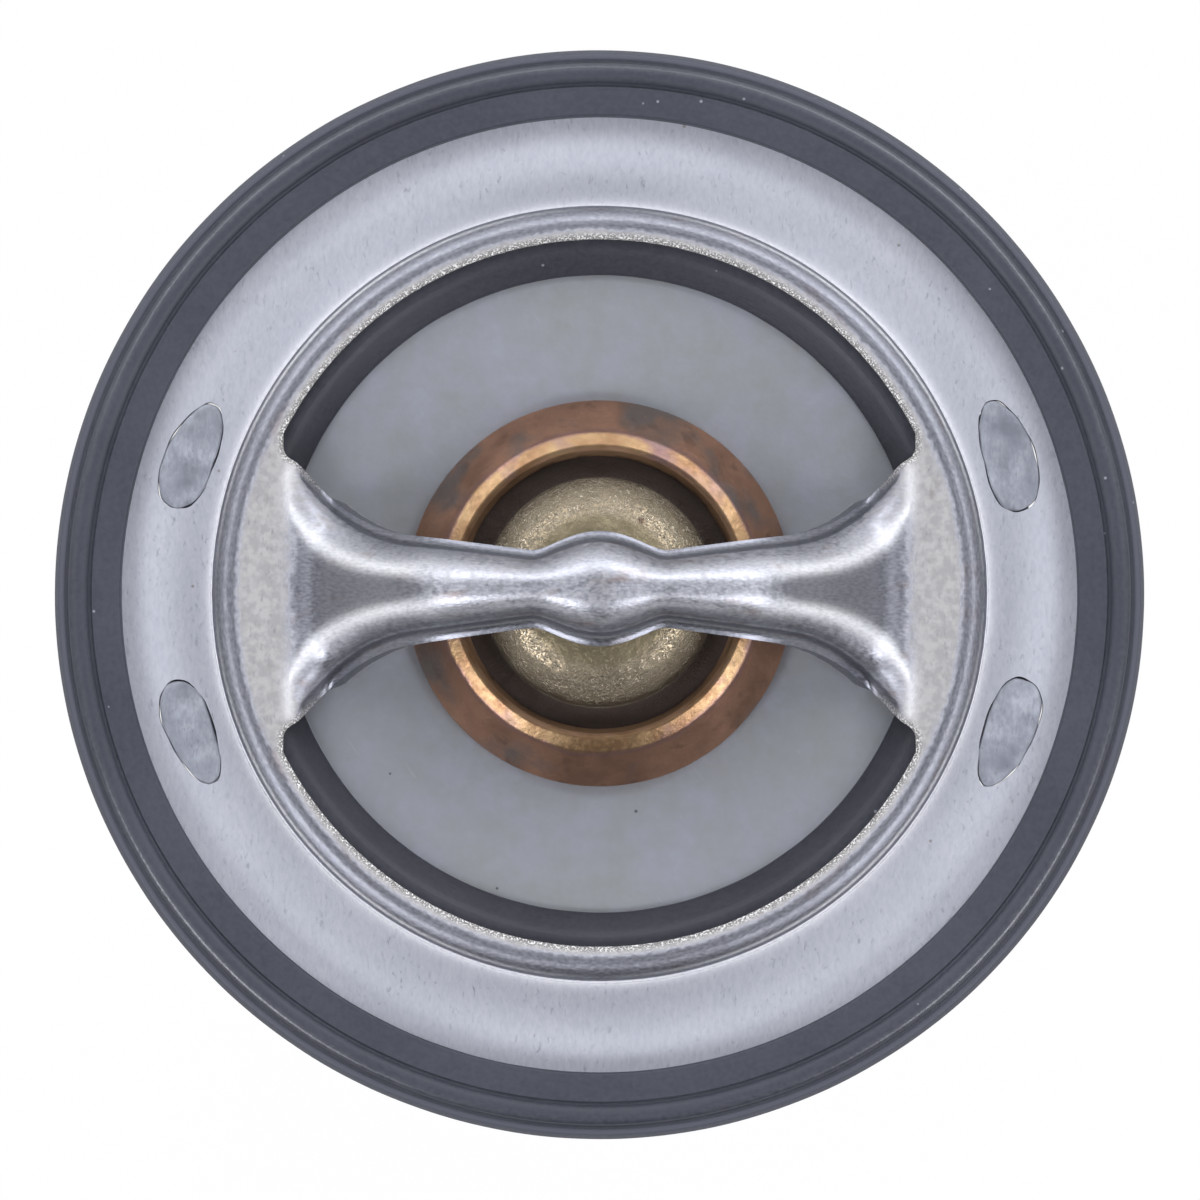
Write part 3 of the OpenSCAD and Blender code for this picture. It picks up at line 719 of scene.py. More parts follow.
def dress(
    piece: bpy.types.Object,
    material: bpy.types.Material,
    body: Body,
    slot: str,
    *nodes: str,
) -> None:
    """Gives a piece its material, its body and the nodes it stands for.

    Args:
        piece: The finished piece.
        material: Its finish.
        body: The body that it moves with.
        slot: The record's material slot; not used.
        nodes: CAD nodes that it replaces.
    """
    piece.data.materials.clear()
    piece.data.materials.append(material)
    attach(piece, body.value)
    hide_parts(*nodes)
    log.info("%s: %d faces on %s", piece.name, len(piece.data.polygons), body.value)


def rounded(corners: Sequence[Corner], steps: int = 4) -> list[Point]:
    """Rounds the corners of an outline.

    Args:
        corners: Radius, height and fillet radius of each corner, in order round the outline.
        steps: Parts of each rounded corner.

    Returns:
        The outline, closed by its first point.
    """
    outline: list[Point] = []
    for i, (x, z, fillet) in enumerate(corners):
        here = Vector((x, z))
        before = Vector(corners[i - 1][:2]) - here
        after = Vector(corners[(i + 1) % len(corners)][:2]) - here
        turn = before.angle(after)
        if fillet <= 0 or turn > math.radians(176):
            outline.append((x, z))
            continue
        reach = min(fillet / math.tan(turn / 2), before.length * 0.48, after.length * 0.48)
        start, end = here + before.normalized() * reach, here + after.normalized() * reach
        for k in range(steps + 1):
            t = k / steps
            spot = start * (1 - t) ** 2 + here * 2 * t * (1 - t) + end * t ** 2
            outline.append((spot.x, spot.y))
    return outline + outline[:1]


def arc(centre: Point, radius: float, start: float, end: float, steps: int) -> list[Point]:
    """Makes the points of an arc.

    Args:
        centre: Its centre.
        radius: Its radius.
        start: First angle in degrees.
        end: Last angle in degrees.
        steps: Number of parts.

    Returns:
        The points.
    """
    angles = np.radians(np.linspace(start, end, steps + 1))
    return [(centre[0] + radius * math.cos(a), centre[1] + radius * math.sin(a)) for a in angles]


class Nodes:
    """A geometry nodes tree in the making."""

    def __init__(self, name: str, inputs: dict[str, str]) -> None:
        """Starts a tree with its inputs.

        Args:
            name: The tree's name.
            inputs: Socket type of each named input.
        """
        self.tree = bpy.data.node_groups.new(name, "GeometryNodeTree")
        self.tree.interface.new_socket("Geometry", in_out="OUTPUT", socket_type="NodeSocketGeometry")
        self.tree.interface.new_socket("Geometry", in_out="INPUT", socket_type="NodeSocketGeometry")
        self.keys = {}
        for label, kind in inputs.items():
            socket = self.tree.interface.new_socket(label, in_out="INPUT", socket_type=kind)
            self.keys[label] = socket.identifier
        self.given = self.add("NodeGroupInput").outputs

    def add(self, kind: str, settings: dict | None = None, links: dict | None = None) -> bpy.types.Node:
        """Adds a node to this tree, as add_node does."""
        return add_node(self.tree, kind, settings, links)

    def sum(self, operation: str, *parts: float | Socket) -> Socket:
        """Works out one Math step on numbers and sockets.

        Args:
            operation: The Math node's operation.
            parts: Its operands.

        Returns:
            The result.
        """
        settings: dict = {"operation": operation}
        links: dict = {}
        for i, part in enumerate(parts):
            if isinstance(part, (int, float)):
                settings[i] = part
            else:
                links[i] = part
        return self.add("ShaderNodeMath", settings, links).outputs[0]

    def end(self, geometry: Socket) -> None:
        """Realizes the geometry, sets its material and ends the tree.

        Args:
            geometry: The finished geometry.
        """
        real = self.add("GeometryNodeRealizeInstances", links={0: geometry})
        dressed = self.add(
            "GeometryNodeSetMaterial",
            links={"Geometry": real.outputs[0], "Material": self.given["Material"]},
        )
        self.add("NodeGroupOutput", links={0: dressed.outputs[0]})

    def apply(self, piece: bpy.types.Object, values: dict) -> None:
        """Puts the tree on a piece and turns the result into its mesh.

        Args:
            piece: The piece that holds the tree's input.
            values: Value of each named input.
        """
        modifier = piece.modifiers.new("tree", "NODES")
        modifier.node_group = self.tree
        for label, value in values.items():
            modifier[self.keys[label]] = value
        settle(piece)


class TurnedForm:
    """Turns an outline round the part's axis, with a slight unevenness."""

    def __init__(self) -> None:
        """Builds the tree once for all turned pieces."""
        self.nodes = Nodes(
            "turned_form",
            {
                "Segments": "NodeSocketInt",
                "Outline Points": "NodeSocketInt",
                "Sweep": "NodeSocketFloat",
                "Unevenness": "NodeSocketFloat",
                "Patch": "NodeSocketFloat",
                "Seed": "NodeSocketFloat",
                "Material": "NodeSocketMaterial",
            },
        )
        n = self.nodes
        given = n.given
        rows = n.sum("ADD", given["Segments"], 1.0)
        sheet = n.add(
            "GeometryNodeMeshGrid", links={"Vertices X": rows, "Vertices Y": given["Outline Points"]}
        )
        index = n.add("GeometryNodeInputIndex").outputs[0]
        row = n.sum("FLOOR", n.sum("DIVIDE", n.sum("ADD", index, 0.5), given["Outline Points"]))
        column = n.sum("SUBTRACT", index, n.sum("MULTIPLY", row, given["Outline Points"]))
        spot = n.add(
            "GeometryNodeSampleIndex",
            {"data_type": "FLOAT_VECTOR", "domain": "POINT"},
            {
                "Geometry": given["Geometry"],
                "Value": n.add("GeometryNodeInputPosition").outputs[0],
                "Index": column,
            },
        )
        place = n.add("ShaderNodeSeparateXYZ", links={0: spot.outputs[0]})
        turn = n.sum("MULTIPLY", n.sum("DIVIDE", row, given["Segments"]), given["Sweep"])
        cos, sin = n.sum("COSINE", turn), n.sum("SINE", turn)
        level = n.add(
            "ShaderNodeCombineXYZ",
            links={
                0: n.sum("MULTIPLY", place.outputs[0], cos),
                1: n.sum("MULTIPLY", place.outputs[0], sin),
                2: place.outputs[2],
            },
        )
        cloud = n.add(
            "ShaderNodeTexNoise",
            {"noise_dimensions": "4D", "Detail": 1.0},
            {
                "Vector": level.outputs[0],
                "W": given["Seed"],
                "Scale": n.sum("DIVIDE", 1.0, given["Patch"]),
            },
        )
        dent = n.sum("MULTIPLY", cloud.outputs[0], given["Unevenness"])
        reach = n.sum("MAXIMUM", n.sum("SUBTRACT", place.outputs[0], dent), 0.0)
        moved = n.add(
            "ShaderNodeCombineXYZ",
            links={0: n.sum("MULTIPLY", reach, cos), 1: n.sum("MULTIPLY", reach, sin), 2: place.outputs[2]},
        )
        shaped = n.add(
            "GeometryNodeSetPosition",
            links={"Geometry": sheet.outputs[0], "Position": moved.outputs[0]},
        )
        joined = n.add(
            "GeometryNodeMergeByDistance", {"Distance": 0.0005 * MM}, {"Geometry": shaped.outputs[0]}
        )
        n.end(joined.outputs[0])

    def make(
        self,
        name: str,
        outline: Sequence[Point],
        segments: int = 192,
        uneven: float = 0.0,
        patch: float = 4.0,
        seed: float = 0.0,
    ) -> bpy.types.Object:
        """Turns one piece.

        Args:
            name: The piece's name.
            outline: Radius and height of each point in millimetres, closed by its first point.
            segments: Parts of the full turn.
            uneven: How far the surface sinks in places, in millimetres.
            patch: Size of those places in millimetres.
            seed: Picks one pattern of many.

        Returns:
            The piece.
        """
        points = np.array([(r, 0.0, z) for r, z in outline])
        piece = mesh_object(name, points, [])
        self.nodes.apply(
            piece,
            {
                "Segments": segments,
                "Outline Points": len(outline),
                "Sweep": math.tau,
                "Unevenness": uneven * MM,
                "Patch": patch * MM,
                "Seed": seed,
            },
        )
        return piece


class WoundWire:
    """Winds round wire to a coil spring with closed and ground ends."""

    ground_share = 0.55
    dead_pitch_share = 2.06

    def __init__(self) -> None:
        """Builds the tree once for both springs."""
        self.nodes = Nodes(
            "wound_wire",
            {
                "Wire": "NodeSocketFloat",
                "Mean Radius": "NodeSocketFloat",
                "Turns": "NodeSocketFloat",
                "Rings": "NodeSocketInt",
                "Low": "NodeSocketFloat",
                "High": "NodeSocketFloat",
                "Sides": "NodeSocketInt",
                "Material": "NodeSocketMaterial",
            },
        )
        n = self.nodes
        given = n.given
        line = n.add("GeometryNodeMeshLine", links={"Count": given["Rings"]})
        index = n.add("GeometryNodeInputIndex").outputs[0]
        share = n.sum("DIVIDE", index, n.sum("SUBTRACT", given["Rings"], 1.0))
        turn = n.sum("MULTIPLY", share, given["Turns"])
        live = n.sum("SUBTRACT", given["Turns"], 2.0)
        weight = n.add(
            "ShaderNodeClamp",
            {"Min": 0.0, "Max": 1.0},
            {"Value": n.sum("DIVIDE", n.sum("SUBTRACT", turn, 1.0), live)},
        ).outputs[0]
        closed = n.sum("MULTIPLY", given["Wire"], self.dead_pitch_share)
        height = n.sum("SUBTRACT", given["High"], given["Low"])
        tight = n.sum("ADD", n.sum("MULTIPLY", closed, given["Turns"]),
                      n.sum("MULTIPLY", given["Wire"], 2 * self.ground_share))
        extra = n.sum("SUBTRACT", height, tight)
        foot = n.sum("ADD", given["Low"], n.sum("MULTIPLY", given["Wire"], self.ground_share))
        rise = n.sum("ADD", n.sum("MULTIPLY", closed, turn), n.sum("MULTIPLY", extra, weight))
        angle = n.sum("MULTIPLY", turn, math.tau)
        spot = n.add(
            "ShaderNodeCombineXYZ",
            links={
                0: n.sum("MULTIPLY", n.sum("COSINE", angle), given["Mean Radius"]),
                1: n.sum("MULTIPLY", n.sum("SINE", angle), given["Mean Radius"]),
                2: n.sum("ADD", foot, rise),
            },
        )
        placed = n.add(
            "GeometryNodeSetPosition",
            links={"Geometry": line.outputs[0], "Position": spot.outputs[0]},
        )
        marked = n.add(
            "GeometryNodeStoreNamedAttribute",
            {"data_type": "FLOAT", "domain": "POINT", "Name": "along"},
            {"Geometry": placed.outputs[0], "Value": weight},
        )
        path = n.add("GeometryNodeMeshToCurve", links={0: marked.outputs[0]})
        ring = n.add(
            "GeometryNodeCurvePrimitiveCircle",
            links={"Resolution": given["Sides"], "Radius": given["Wire"]},
        )
        wire = n.add(
            "GeometryNodeCurveToMesh",
            {"Fill Caps": True},
            {"Curve": path.outputs[0], "Profile Curve": ring.outputs[0]},
        )
        where = n.add(
            "ShaderNodeSeparateXYZ", links={0: n.add("GeometryNodeInputPosition").outputs[0]}
        )
        flat = n.sum("MINIMUM", n.sum("MAXIMUM", where.outputs[2], given["Low"]), given["High"])
        cut = n.add(
            "ShaderNodeCombineXYZ", links={0: where.outputs[0], 1: where.outputs[1], 2: flat}
        )
        ground = n.add(
            "GeometryNodeSetPosition",
            links={"Geometry": wire.outputs[0], "Position": cut.outputs[0]},
        )
        n.end(ground.outputs[0])

    def make(
        self, name: str, wire: float, mean: float, turns: float, low: float, high: float
    ) -> bpy.types.Object:
        """Winds one spring.

        Args:
            name: The piece's name.
            wire: Radius of the wire in millimetres.
            mean: Mean radius of the coil in millimetres.
            turns: Number of turns.
            low: Height of its lower seat in millimetres.
            high: Height of its upper seat in millimetres.

        Returns:
            The piece, with the attribute along that runs from 0 at the low end to 1.
        """
        piece = mesh_object(name, np.zeros((1, 3)), [])
        self.nodes.apply(
            piece,
            {
                "Wire": wire * MM,
                "Mean Radius": mean * MM,
                "Turns": turns,
                "Rings": int(turns * 72),
                "Low": low * MM,
                "High": high * MM,
                "Sides": 24,
            },
        )
        return piece


def squeeze(spring: bpy.types.Object, fixed: Body, moving: Body) -> None:
    """Lets a spring's turns close evenly between two bodies, with its wire kept round.

    Args:
        spring: The spring, with its attribute along.
        fixed: Body at its low end.
        moving: Body at its high end.
    """
    mesh = spring.data
    heights = [v.co.z for v in mesh.vertices]
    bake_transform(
        spring, fixed.value, moving.value, start=(0, 0, min(heights)), end=(0, 0, max(heights))
    )
    shares = np.zeros(len(mesh.vertices), np.float32)
    mesh.attributes["along"].data.foreach_get("value", shares)
    mesh.attributes["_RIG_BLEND"].data.foreach_set("value", shares)


@dataclass
class FlangeBridge:
    """The one-piece pressing: flange, collar, opening and the bow-tie bridge over it."""

    sheet: float = 1.0
    rim_r: float = 32.0
    wall_r: float = 24.12
    shoulder_r: float = 1.32
    seat_w: float = 0.8
    root_r: float = 0.2
    collar_h: float = 3.7
    bridge_h: float = 9.8
    foot_back: float = 3.25
    waist_half: float = 2.35
    taper: float = 0.135
    flare_half: float = 3.62
    flare_power: float = 2.2
    flare_slack: float = 0.6
    boss_r: float = 3.6
    boss_rise: float = 0.4
    boss_reach: float = 4.2
    skirt_h: float = 2.9
    lip_w: float = 0.5
    front_lip_w: float = 0.62
    lip_start: float = 0.7
    lip_level: float = 0.9
    fold_w: float = 5.2
    fold_turn: float = 0.15
    notch_r: float = 0.9
    notch_turn: float = 30.0
    roll_w: float = 0.6
    roll_h: float = 0.32
    swell_w: float = 1.3
    swell_h: float = 0.06
    tear_seeds: tuple[int, int] = (6, 7)

    def __post_init__(self) -> None:
        """Works out the places that the sizes give."""
        self.face_z = self.sheet / 2
        self.top_z = self.face_z + self.collar_h
        self.seat_z = self.top_z - self.sheet
        self.flat_r = self.wall_r - self.shoulder_r
        self.opening_r = self.flat_r - self.seat_w
        self.foot_x = self.opening_r - self.foot_back
        self.crown_x = self.foot_x * 0.22
        self.knee_x = self.foot_x * 0.58
        self.knee_reach = self.foot_x * 0.2
        self.toe_reach = self.sheet * 1.4
        self.notch_x = self.foot_x + self.sheet * 0.45
        self.toe_x = self.notch_x - self.toe_reach
        self.crown_slope = 0.2
        drop = self.bridge_h - self.crown_slope * (self.knee_x - self.crown_x)
        self.leg_slope = drop / (self.toe_x - self.knee_x)
        self.taper_x = self.foot_x * 0.21
        self.flare_x = self.foot_x * 0.613
        self.flare_end = self.foot_x * 0.992
        self.fold_x = self.foot_x * 0.48
        self.fold_end = self.notch_x + 0.4
        self.skirt_x = self.foot_x * 0.88

    @staticmethod
    def step(t: np.ndarray) -> np.ndarray:
        """Returns a smooth step from 0 to 1."""
        c = np.clip(t, 0, 1)
        return c * c * (3 - 2 * c)

    @staticmethod
    def ramp(x: np.ndarray, centre: float, reach: float) -> np.ndarray:
        """Returns the distance past a place, with the start rounded over a reach on each side."""
        t = np.clip((x - centre + reach) / (2 * reach), 0, 1)
        return np.where(x >= centre + reach, x - centre, 2 * reach * (t ** 3 - t ** 4 / 2))

    def boss(self, x: np.ndarray) -> np.ndarray:
        """Returns how much of the round boss is under the distance x."""
        return np.maximum(0, 1 - x * x / self.boss_r ** 2) ** 2

    def crown(self, x: np.ndarray) -> np.ndarray:
        """Returns the height of the bridge's ridge at the distance x."""
        return (
            self.top_z + self.bridge_h + self.boss_rise * self.boss(x)
            - self.crown_slope * self.ramp(x, self.crown_x, self.crown_x)
            - (self.leg_slope - self.crown_slope) * self.ramp(x, self.knee_x, self.knee_reach)
            + self.leg_slope * self.ramp(x, self.toe_x, self.toe_reach)
        )

    def half(self, x: np.ndarray) -> np.ndarray:
        """Works out the bridge's half width.

        Args:
            x: Distance from the part's middle.

        Returns:
            The half width at each distance.
        """
        bulge = (1 - np.clip(x / self.boss_reach, 0, 1) ** 2) ** 1.7
        round_half = self.waist_half + (self.boss_r - self.waist_half - 0.06) * bulge
        slack = self.flare_slack * self.ramp(x, self.flare_end, self.sheet / 2)
        run = np.maximum(0, x - slack - self.flare_x) / (self.flare_end - self.flare_x)
        taper = self.taper * self.ramp(x, self.taper_x, self.sheet * 0.7)
        return round_half + taper + self.flare_half * run ** self.flare_power

    def skirt(self, x: np.ndarray) -> np.ndarray:
        """Returns the depth of the skirts at the distance x."""
        return self.skirt_h * (1 - self.step((x - self.skirt_x) / (self.notch_x - self.skirt_x)))

    def flat(self, x: np.ndarray) -> np.ndarray:
        """Works out the half width of the bridge's flat top, which opens like a trumpet's bell.

        Args:
            x: Distance from the part's middle.

        Returns:
            The half width at each distance.
        """
        run = np.clip((x - self.fold_x) / (self.fold_end - self.fold_x), 0, 1)
        bell = run ** 2 * self.fold_turn / (1 + self.fold_turn - run)
        return self.waist_half * (0.12 + 0.12 * self.boss(x)) + self.fold_w * bell

    def outer(self, x: np.ndarray, side: np.ndarray, turn: np.ndarray) -> np.ndarray:
        """Places points of the bridge's outer skin.

        Args:
            x: Distance along the bridge.
            side: From -1 to 1 across the flat top, and -1 or 1 on a skirt.
            turn: From 0 at the flat top to 1 at the lip.

        Returns:
            The points.
        """
        far = np.abs(x)
        flat = self.flat(far)
        past = np.maximum(0, turn - self.lip_start) / (1 - self.lip_start)
        bend = np.minimum(turn, self.lip_start)
        bend = bend + (1 - self.lip_start) * (past - self.lip_level * past ** 2 / 2)
        last = self.lip_start + (1 - self.lip_start) * (1 - self.lip_level / 2)
        lip = np.where(side < 0, self.front_lip_w, self.lip_w)
        wide = (self.half(far) - flat - lip) / math.sin(last * math.pi / 2)
        deep = self.skirt(far) / (1 - math.cos(last * math.pi / 2))
        bulge = wide * np.sin(bend * math.pi / 2) + lip * past ** 2
        drop = deep * (1 - np.cos(bend * math.pi / 2))
        return np.stack([x, side * flat + np.sign(side) * bulge, self.crown(far) - drop], -1)

    def inner(self, x: np.ndarray, side: np.ndarray, turn: np.ndarray) -> np.ndarray:
        """Places points one thickness of sheet below the outer skin.

        Args:
            x: Distance along the bridge.
            side: As in outer.
            turn: As in outer.

        Returns:
            The points.
        """
        h = 0.001
        along = self.outer(x + h, side, turn) - self.outer(x - h, side, turn)
        across = self.outer(x, side, turn + h) - self.outer(x, side, turn - h)
        across = across * np.sign(side)[..., None]
        across[np.abs(side) < 1] = (0, 1, 0)
        normal = np.cross(along, across)
        normal /= np.linalg.norm(normal, axis=-1, keepdims=True)
        return self.outer(x, side, turn) - normal * self.sheet

    def window_quarter(self) -> np.ndarray:
        """Draws the edge of a window's quarter, from the bridge's foot to the arc's middle.

        Returns:
            The points in plan.
        """
        turn = math.radians(self.notch_turn)
        edge_y = float(self.half(np.array(self.notch_x)))
        centre = (
            self.notch_x - self.notch_r * math.sin(turn),
            edge_y + self.notch_r * math.cos(turn),
        )
        points = arc(centre, self.notch_r, self.notch_turn - 90, 0, 10)
        side_x = centre[0] + self.notch_r
        top_y = math.sqrt(self.opening_r ** 2 - side_x ** 2)
        points += [(side_x, centre[1] + (top_y - centre[1]) * k / 4) for k in range(1, 4)]
        start = math.degrees(math.atan2(top_y, side_x))
        return np.array(points + arc((0, 0), self.opening_r, start, 90, 130))

    def collar_section(self) -> np.ndarray:
        """Draws the section from the collar's flat top out to the rim and back inside.

        Returns:
            Radius and height of each point.
        """
        fillet_r = self.wall_r + self.root_r
        shoulder_z = self.top_z - self.shoulder_r
        points = arc((self.flat_r, shoulder_z), self.shoulder_r, 90, 0, 18)
        points += arc((fillet_r, self.face_z + self.root_r), self.root_r, 180, 255, 6)
        swell = np.linspace(0, 1, 9)
        points += [
            (fillet_r + self.swell_w * s, self.face_z + self.swell_h * (0.8 if s == 0 else (1 - s) ** 2))
            for s in swell
        ]
        rim = np.linspace(fillet_r + self.swell_w, self.rim_r, 14)[1:]
        points += [(r, self.face_z) for r in rim]
        points += [(self.rim_r, 0.0)]
        points += [(r, -self.face_z) for r in np.linspace(self.rim_r, fillet_r, 10)]
        big = self.root_r + self.sheet
        points += arc((fillet_r, self.face_z + self.root_r), big, 270, 180, 8)[1:]
        small = self.shoulder_r - self.sheet
        points += arc((self.flat_r, shoulder_z), small, 0, 90, 6)
        return np.array(points)

    def roll(self, distance: np.ndarray) -> np.ndarray:
        """Returns how far the punched edge has sunk at a distance from it."""
        return self.roll_h * np.maximum(0, 1 - distance / self.roll_w) ** 2

    @staticmethod
    def gap_to(points: np.ndarray, line: np.ndarray) -> np.ndarray:
        """Measures how far points lie from a line in plan.

        Args:
            points: Places, of which the first two columns count.
            line: Points of the line.

        Returns:
            The distances.
        """
        flat = points.reshape(-1, points.shape[-1])[:, :2]
        best = np.full(len(flat), 1e9)
        for a, b in zip(line[:-1], line[1:]):
            run = b - a
            t = np.clip(((flat - a) @ run) / max(run @ run, 1e-12), 0, 1)
            best = np.minimum(best, np.linalg.norm(flat - a - t[:, None] * run, axis=1))
        return best.reshape(points.shape[:-1])

    def make(self, material: bpy.types.Material) -> bpy.types.Object:
        """Builds the pressing as one closed skin.

        Args:
            material: Its finish.

        Returns:
            The piece.
        """
        bends = np.linspace(0, 1, 23)[1:] ** 0.9
        sides = np.concatenate([-np.ones(22), np.linspace(-1, 1, 7), np.ones(22)])
        turns = np.concatenate([bends[::-1], np.zeros(7), bends])
        stations = np.linspace(-self.notch_x, self.notch_x, 241)
        x, side = np.meshgrid(stations, sides, indexing="ij")
        turn = np.broadcast_to(turns, x.shape)
        top, under = self.outer(x, side, turn), self.inner(x, side, turn)

        quarter = self.window_quarter()
        window = np.concatenate([quarter, (quarter * (-1, 1))[::-1][1:]])
        edge_y = self.half(np.abs(stations))
        bridge_edge = np.stack([stations, edge_y], -1)
        outline = np.concatenate([bridge_edge, window])
        foot = np.stack([np.full(len(sides), self.notch_x), top[-1, :, 1]], -1)
        loop = np.concatenate([foot[:-1], window[:-1], (foot * (-1, 1))[::-1][:-1], -window[:-1]])

        near = self.step((np.abs(top[..., 0]) - self.notch_x + 2.4) / 2.4)
        gap = np.minimum(self.gap_to(top, outline), self.gap_to(top, -outline))
        gap[:, 0] = gap[:, -1] = 0
        top[..., 2] -= near * self.roll(gap)

        angles = np.arctan2(loop[:, 1], loop[:, 0])
        ring = self.flat_r * np.stack([np.cos(angles), np.sin(angles)], -1)
        shares = np.array([0, 0.04, 0.1, 0.2, 0.34, 0.5, 0.7, 0.85, 1])[None, :, None]
        plan = loop[:, None] * (1 - shares) + ring[:, None] * shares
        plate_gap = np.minimum(self.gap_to(plan, outline), self.gap_to(plan, -outline))
        count = len(foot) - 1
        on_window = np.ones(len(loop), bool)
        on_window[1:count] = False
        half_way = count + len(window) - 1
        on_window[half_way + 1:half_way + count] = False
        plate_gap[on_window, 0] = 0
        plate = np.concatenate([plan, self.top_z - self.roll(plate_gap)[..., None]], -1)
        plate_under = np.concatenate([plan, np.full(plan.shape[:2] + (1,), self.seat_z)], -1)

        section = self.collar_section()
        spin = angles[:, None]
        collar = np.stack(
            [section[:, 0] * np.cos(spin), section[:, 0] * np.sin(spin),
             np.broadcast_to(section[:, 1], (len(loop), len(section)))], -1,
        )

        patches = [
            (top, self.bridge_marks(top, gap, near, turn)),
            (under, np.zeros(under.shape[:2] + (5,))),
            (plate, self.plate_marks(plate, plate_gap)),
            (plate_under, np.zeros(plate_under.shape[:2] + (5,))),
            (collar, self.collar_marks(collar, section)),
        ]
        highs = self.window_loops(top, plate, count, half_way)
        lows = self.window_loops(under, plate_under, count, half_way)
        for high, low, seed in zip(highs, lows, self.tear_seeds):
            patches.append(self.torn_edge(high, low, seed))

        points, marks, faces, start = [], [], [], 0
        for i, (patch, mark) in enumerate(patches):
            rows, columns = patch.shape[:2]
            closed = i in (2, 3, 4)
            faces.append(grid_faces(rows, columns, closed) + start)
            points.append(patch.reshape(-1, 3))
            marks.append(mark.reshape(-1, 5))
            start += rows * columns
        cloud, values = np.concatenate(points), np.concatenate(marks)
        _, first, number = np.unique(
            np.round(cloud / 1e-5).astype(np.int64), axis=0, return_index=True, return_inverse=True
        )
        number = number.reshape(-1)
        quads = number[np.concatenate(faces)]
        kept = [list(dict.fromkeys(q)) for q in quads.tolist()]
        piece = mesh_object("pressed_flange_bridge", cloud[first], [q for q in kept if len(q) > 2])
        self.store(piece.data, values[first])
        piece.data.materials.append(material)
        return piece

    @staticmethod
    def window_loops(
        bridge: np.ndarray, plate: np.ndarray, count: int, half_way: int
    ) -> tuple[np.ndarray, np.ndarray]:
        """Collects the edge points round each window, on one face of the sheet.

        Args:
            bridge: Points of the bridge.
            plate: Points of the plate round it, from the opening outwards.
            count: Number of plate points along a foot.
            half_way: Number of the plate point at the start of the other foot.

        Returns:
            The loop behind the bridge and the one in front.
        """
        rim = plate[:, 0]
        behind = np.concatenate([bridge[:-1, -1], rim[count:half_way + 1]])
        in_front = np.concatenate([rim[half_way + count:], bridge[::-1, 0]])
        return behind, in_front

    @staticmethod
    def store(mesh: bpy.types.Mesh, values: np.ndarray) -> None:
        """Keeps the finish marks of each point, with their painted highlight, painted glint and painted
        dark.

        Args:
            mesh: The mesh.
            values: Burnish with its painted dark, shear with its painted glint, painted highlight, and the
                place along and across the draw, for each point.
        """
        for name, column in (("burnish_and_painted_dark", 0), ("sheared", 1), ("painted_highlight", 2)):
            layer = mesh.attributes.new(name, "FLOAT", "POINT")
            layer.data.foreach_set("value", values[:, column].astype(np.float32))
        layer = mesh.attributes.new("drawn", "FLOAT_VECTOR", "POINT")
        drawn = np.zeros((len(values), 3), np.float32)
        drawn[:, :2] = values[:, 3:] * MM
        layer.data.foreach_set("vector", drawn.reshape(-1))

    def rubbed_and_painted_dark(self, points: np.ndarray) -> np.ndarray:
        """Works out where the draw's burnish and painted dark apply, which fades out past the bridge's feet.

        Args:
            points: Places on the upper face.

        Returns:
            From 0 to 1 for each point.
        """
        far, side = np.abs(points[..., 0]), np.abs(points[..., 1])
        past = self.step((far - self.notch_x + 0.9) / 1.7)
        return (1 - past) * (1 - self.step((side - 5) / 3) * self.step((far - self.notch_x + 1) / 1))

    def bridge_marks(
        self, top: np.ndarray, gap: np.ndarray, near: np.ndarray, turn: np.ndarray
    ) -> np.ndarray:
        """Marks the bridge's outer skin, with painted highlights along its folds and painted dark on its
        legs, crown line, lip and lower flank.

        Args:
            top: Its points.
            gap: Distance of each from the punched edge.
            near: From 0 on the bridge to 1 at its feet.
            turn: From 0 at the flat top to 1 at the lip.

        Returns:
            Five marks for each point.
        """
        steps = np.linalg.norm(np.diff(top, axis=1), axis=-1)
        across = np.concatenate([np.zeros((len(top), 1)), np.cumsum(steps, 1)], 1)
        across -= across[:, [across.shape[1] // 2]]
        far = np.abs(top[..., 0])
        leg = self.step((far - self.fold_x) / (self.knee_x + 2 - self.fold_x))
        flank = self.step((turn - 0.05) / 0.2)
        side = np.abs(top[..., 1])
        toe = self.step((far - self.fold_x * 1.6) / 3)
        # Burnish above about 0.6 takes the dark colour. The legs' flat tops go dark as painted dark
        # reflection, while their flanks are kept at bright satin.
        burnish_and_painted_dark = 0.5 + leg * (0.5 - (0.42 + 0.2 * toe) * flank)
        # Painted dark reflection, deepest along the middle of each leg's top.
        burnish_and_painted_dark = burnish_and_painted_dark + 0.25 * leg * np.exp(-(side / (0.2 + 0.45 * self.flat(far))) ** 2)
        # Painted dark reflection along the middle of the narrow bridge's crown.
        burnish_and_painted_dark = burnish_and_painted_dark + 0.14 * (1 - leg) * np.exp(-(side / 0.28) ** 2) * (1 - self.boss(far))
        # Painted shade on the lip.
        burnish_and_painted_dark = burnish_and_painted_dark + 0.75 * self.step((turn - 0.66) / 0.1)
        # Painted shade on the lower flank, the side turned away from the back fill.
        under = self.step((turn - 0.28) / 0.15) * self.step((0.68 - turn) / 0.06) * (top[..., 1] < 0)
        burnish_and_painted_dark = burnish_and_painted_dark + (0.36 - 0.06 * leg) * under
        burnish_and_painted_dark = np.clip(burnish_and_painted_dark, 0, 1.25) * self.rubbed_and_painted_dark(top)
        # Painted highlight: a white band along each fold, strongest on the legs and fainter over the boss.
        wide = 0.1 + 0.1 * (1 - leg)
        painted_highlight_level = (0.12 + (0.75 - 0.1 * toe) * leg) * np.exp(-((turn - 0.2) / wide) ** 2)
        painted_highlight_level = painted_highlight_level * (1 - 0.7 * self.boss(far))
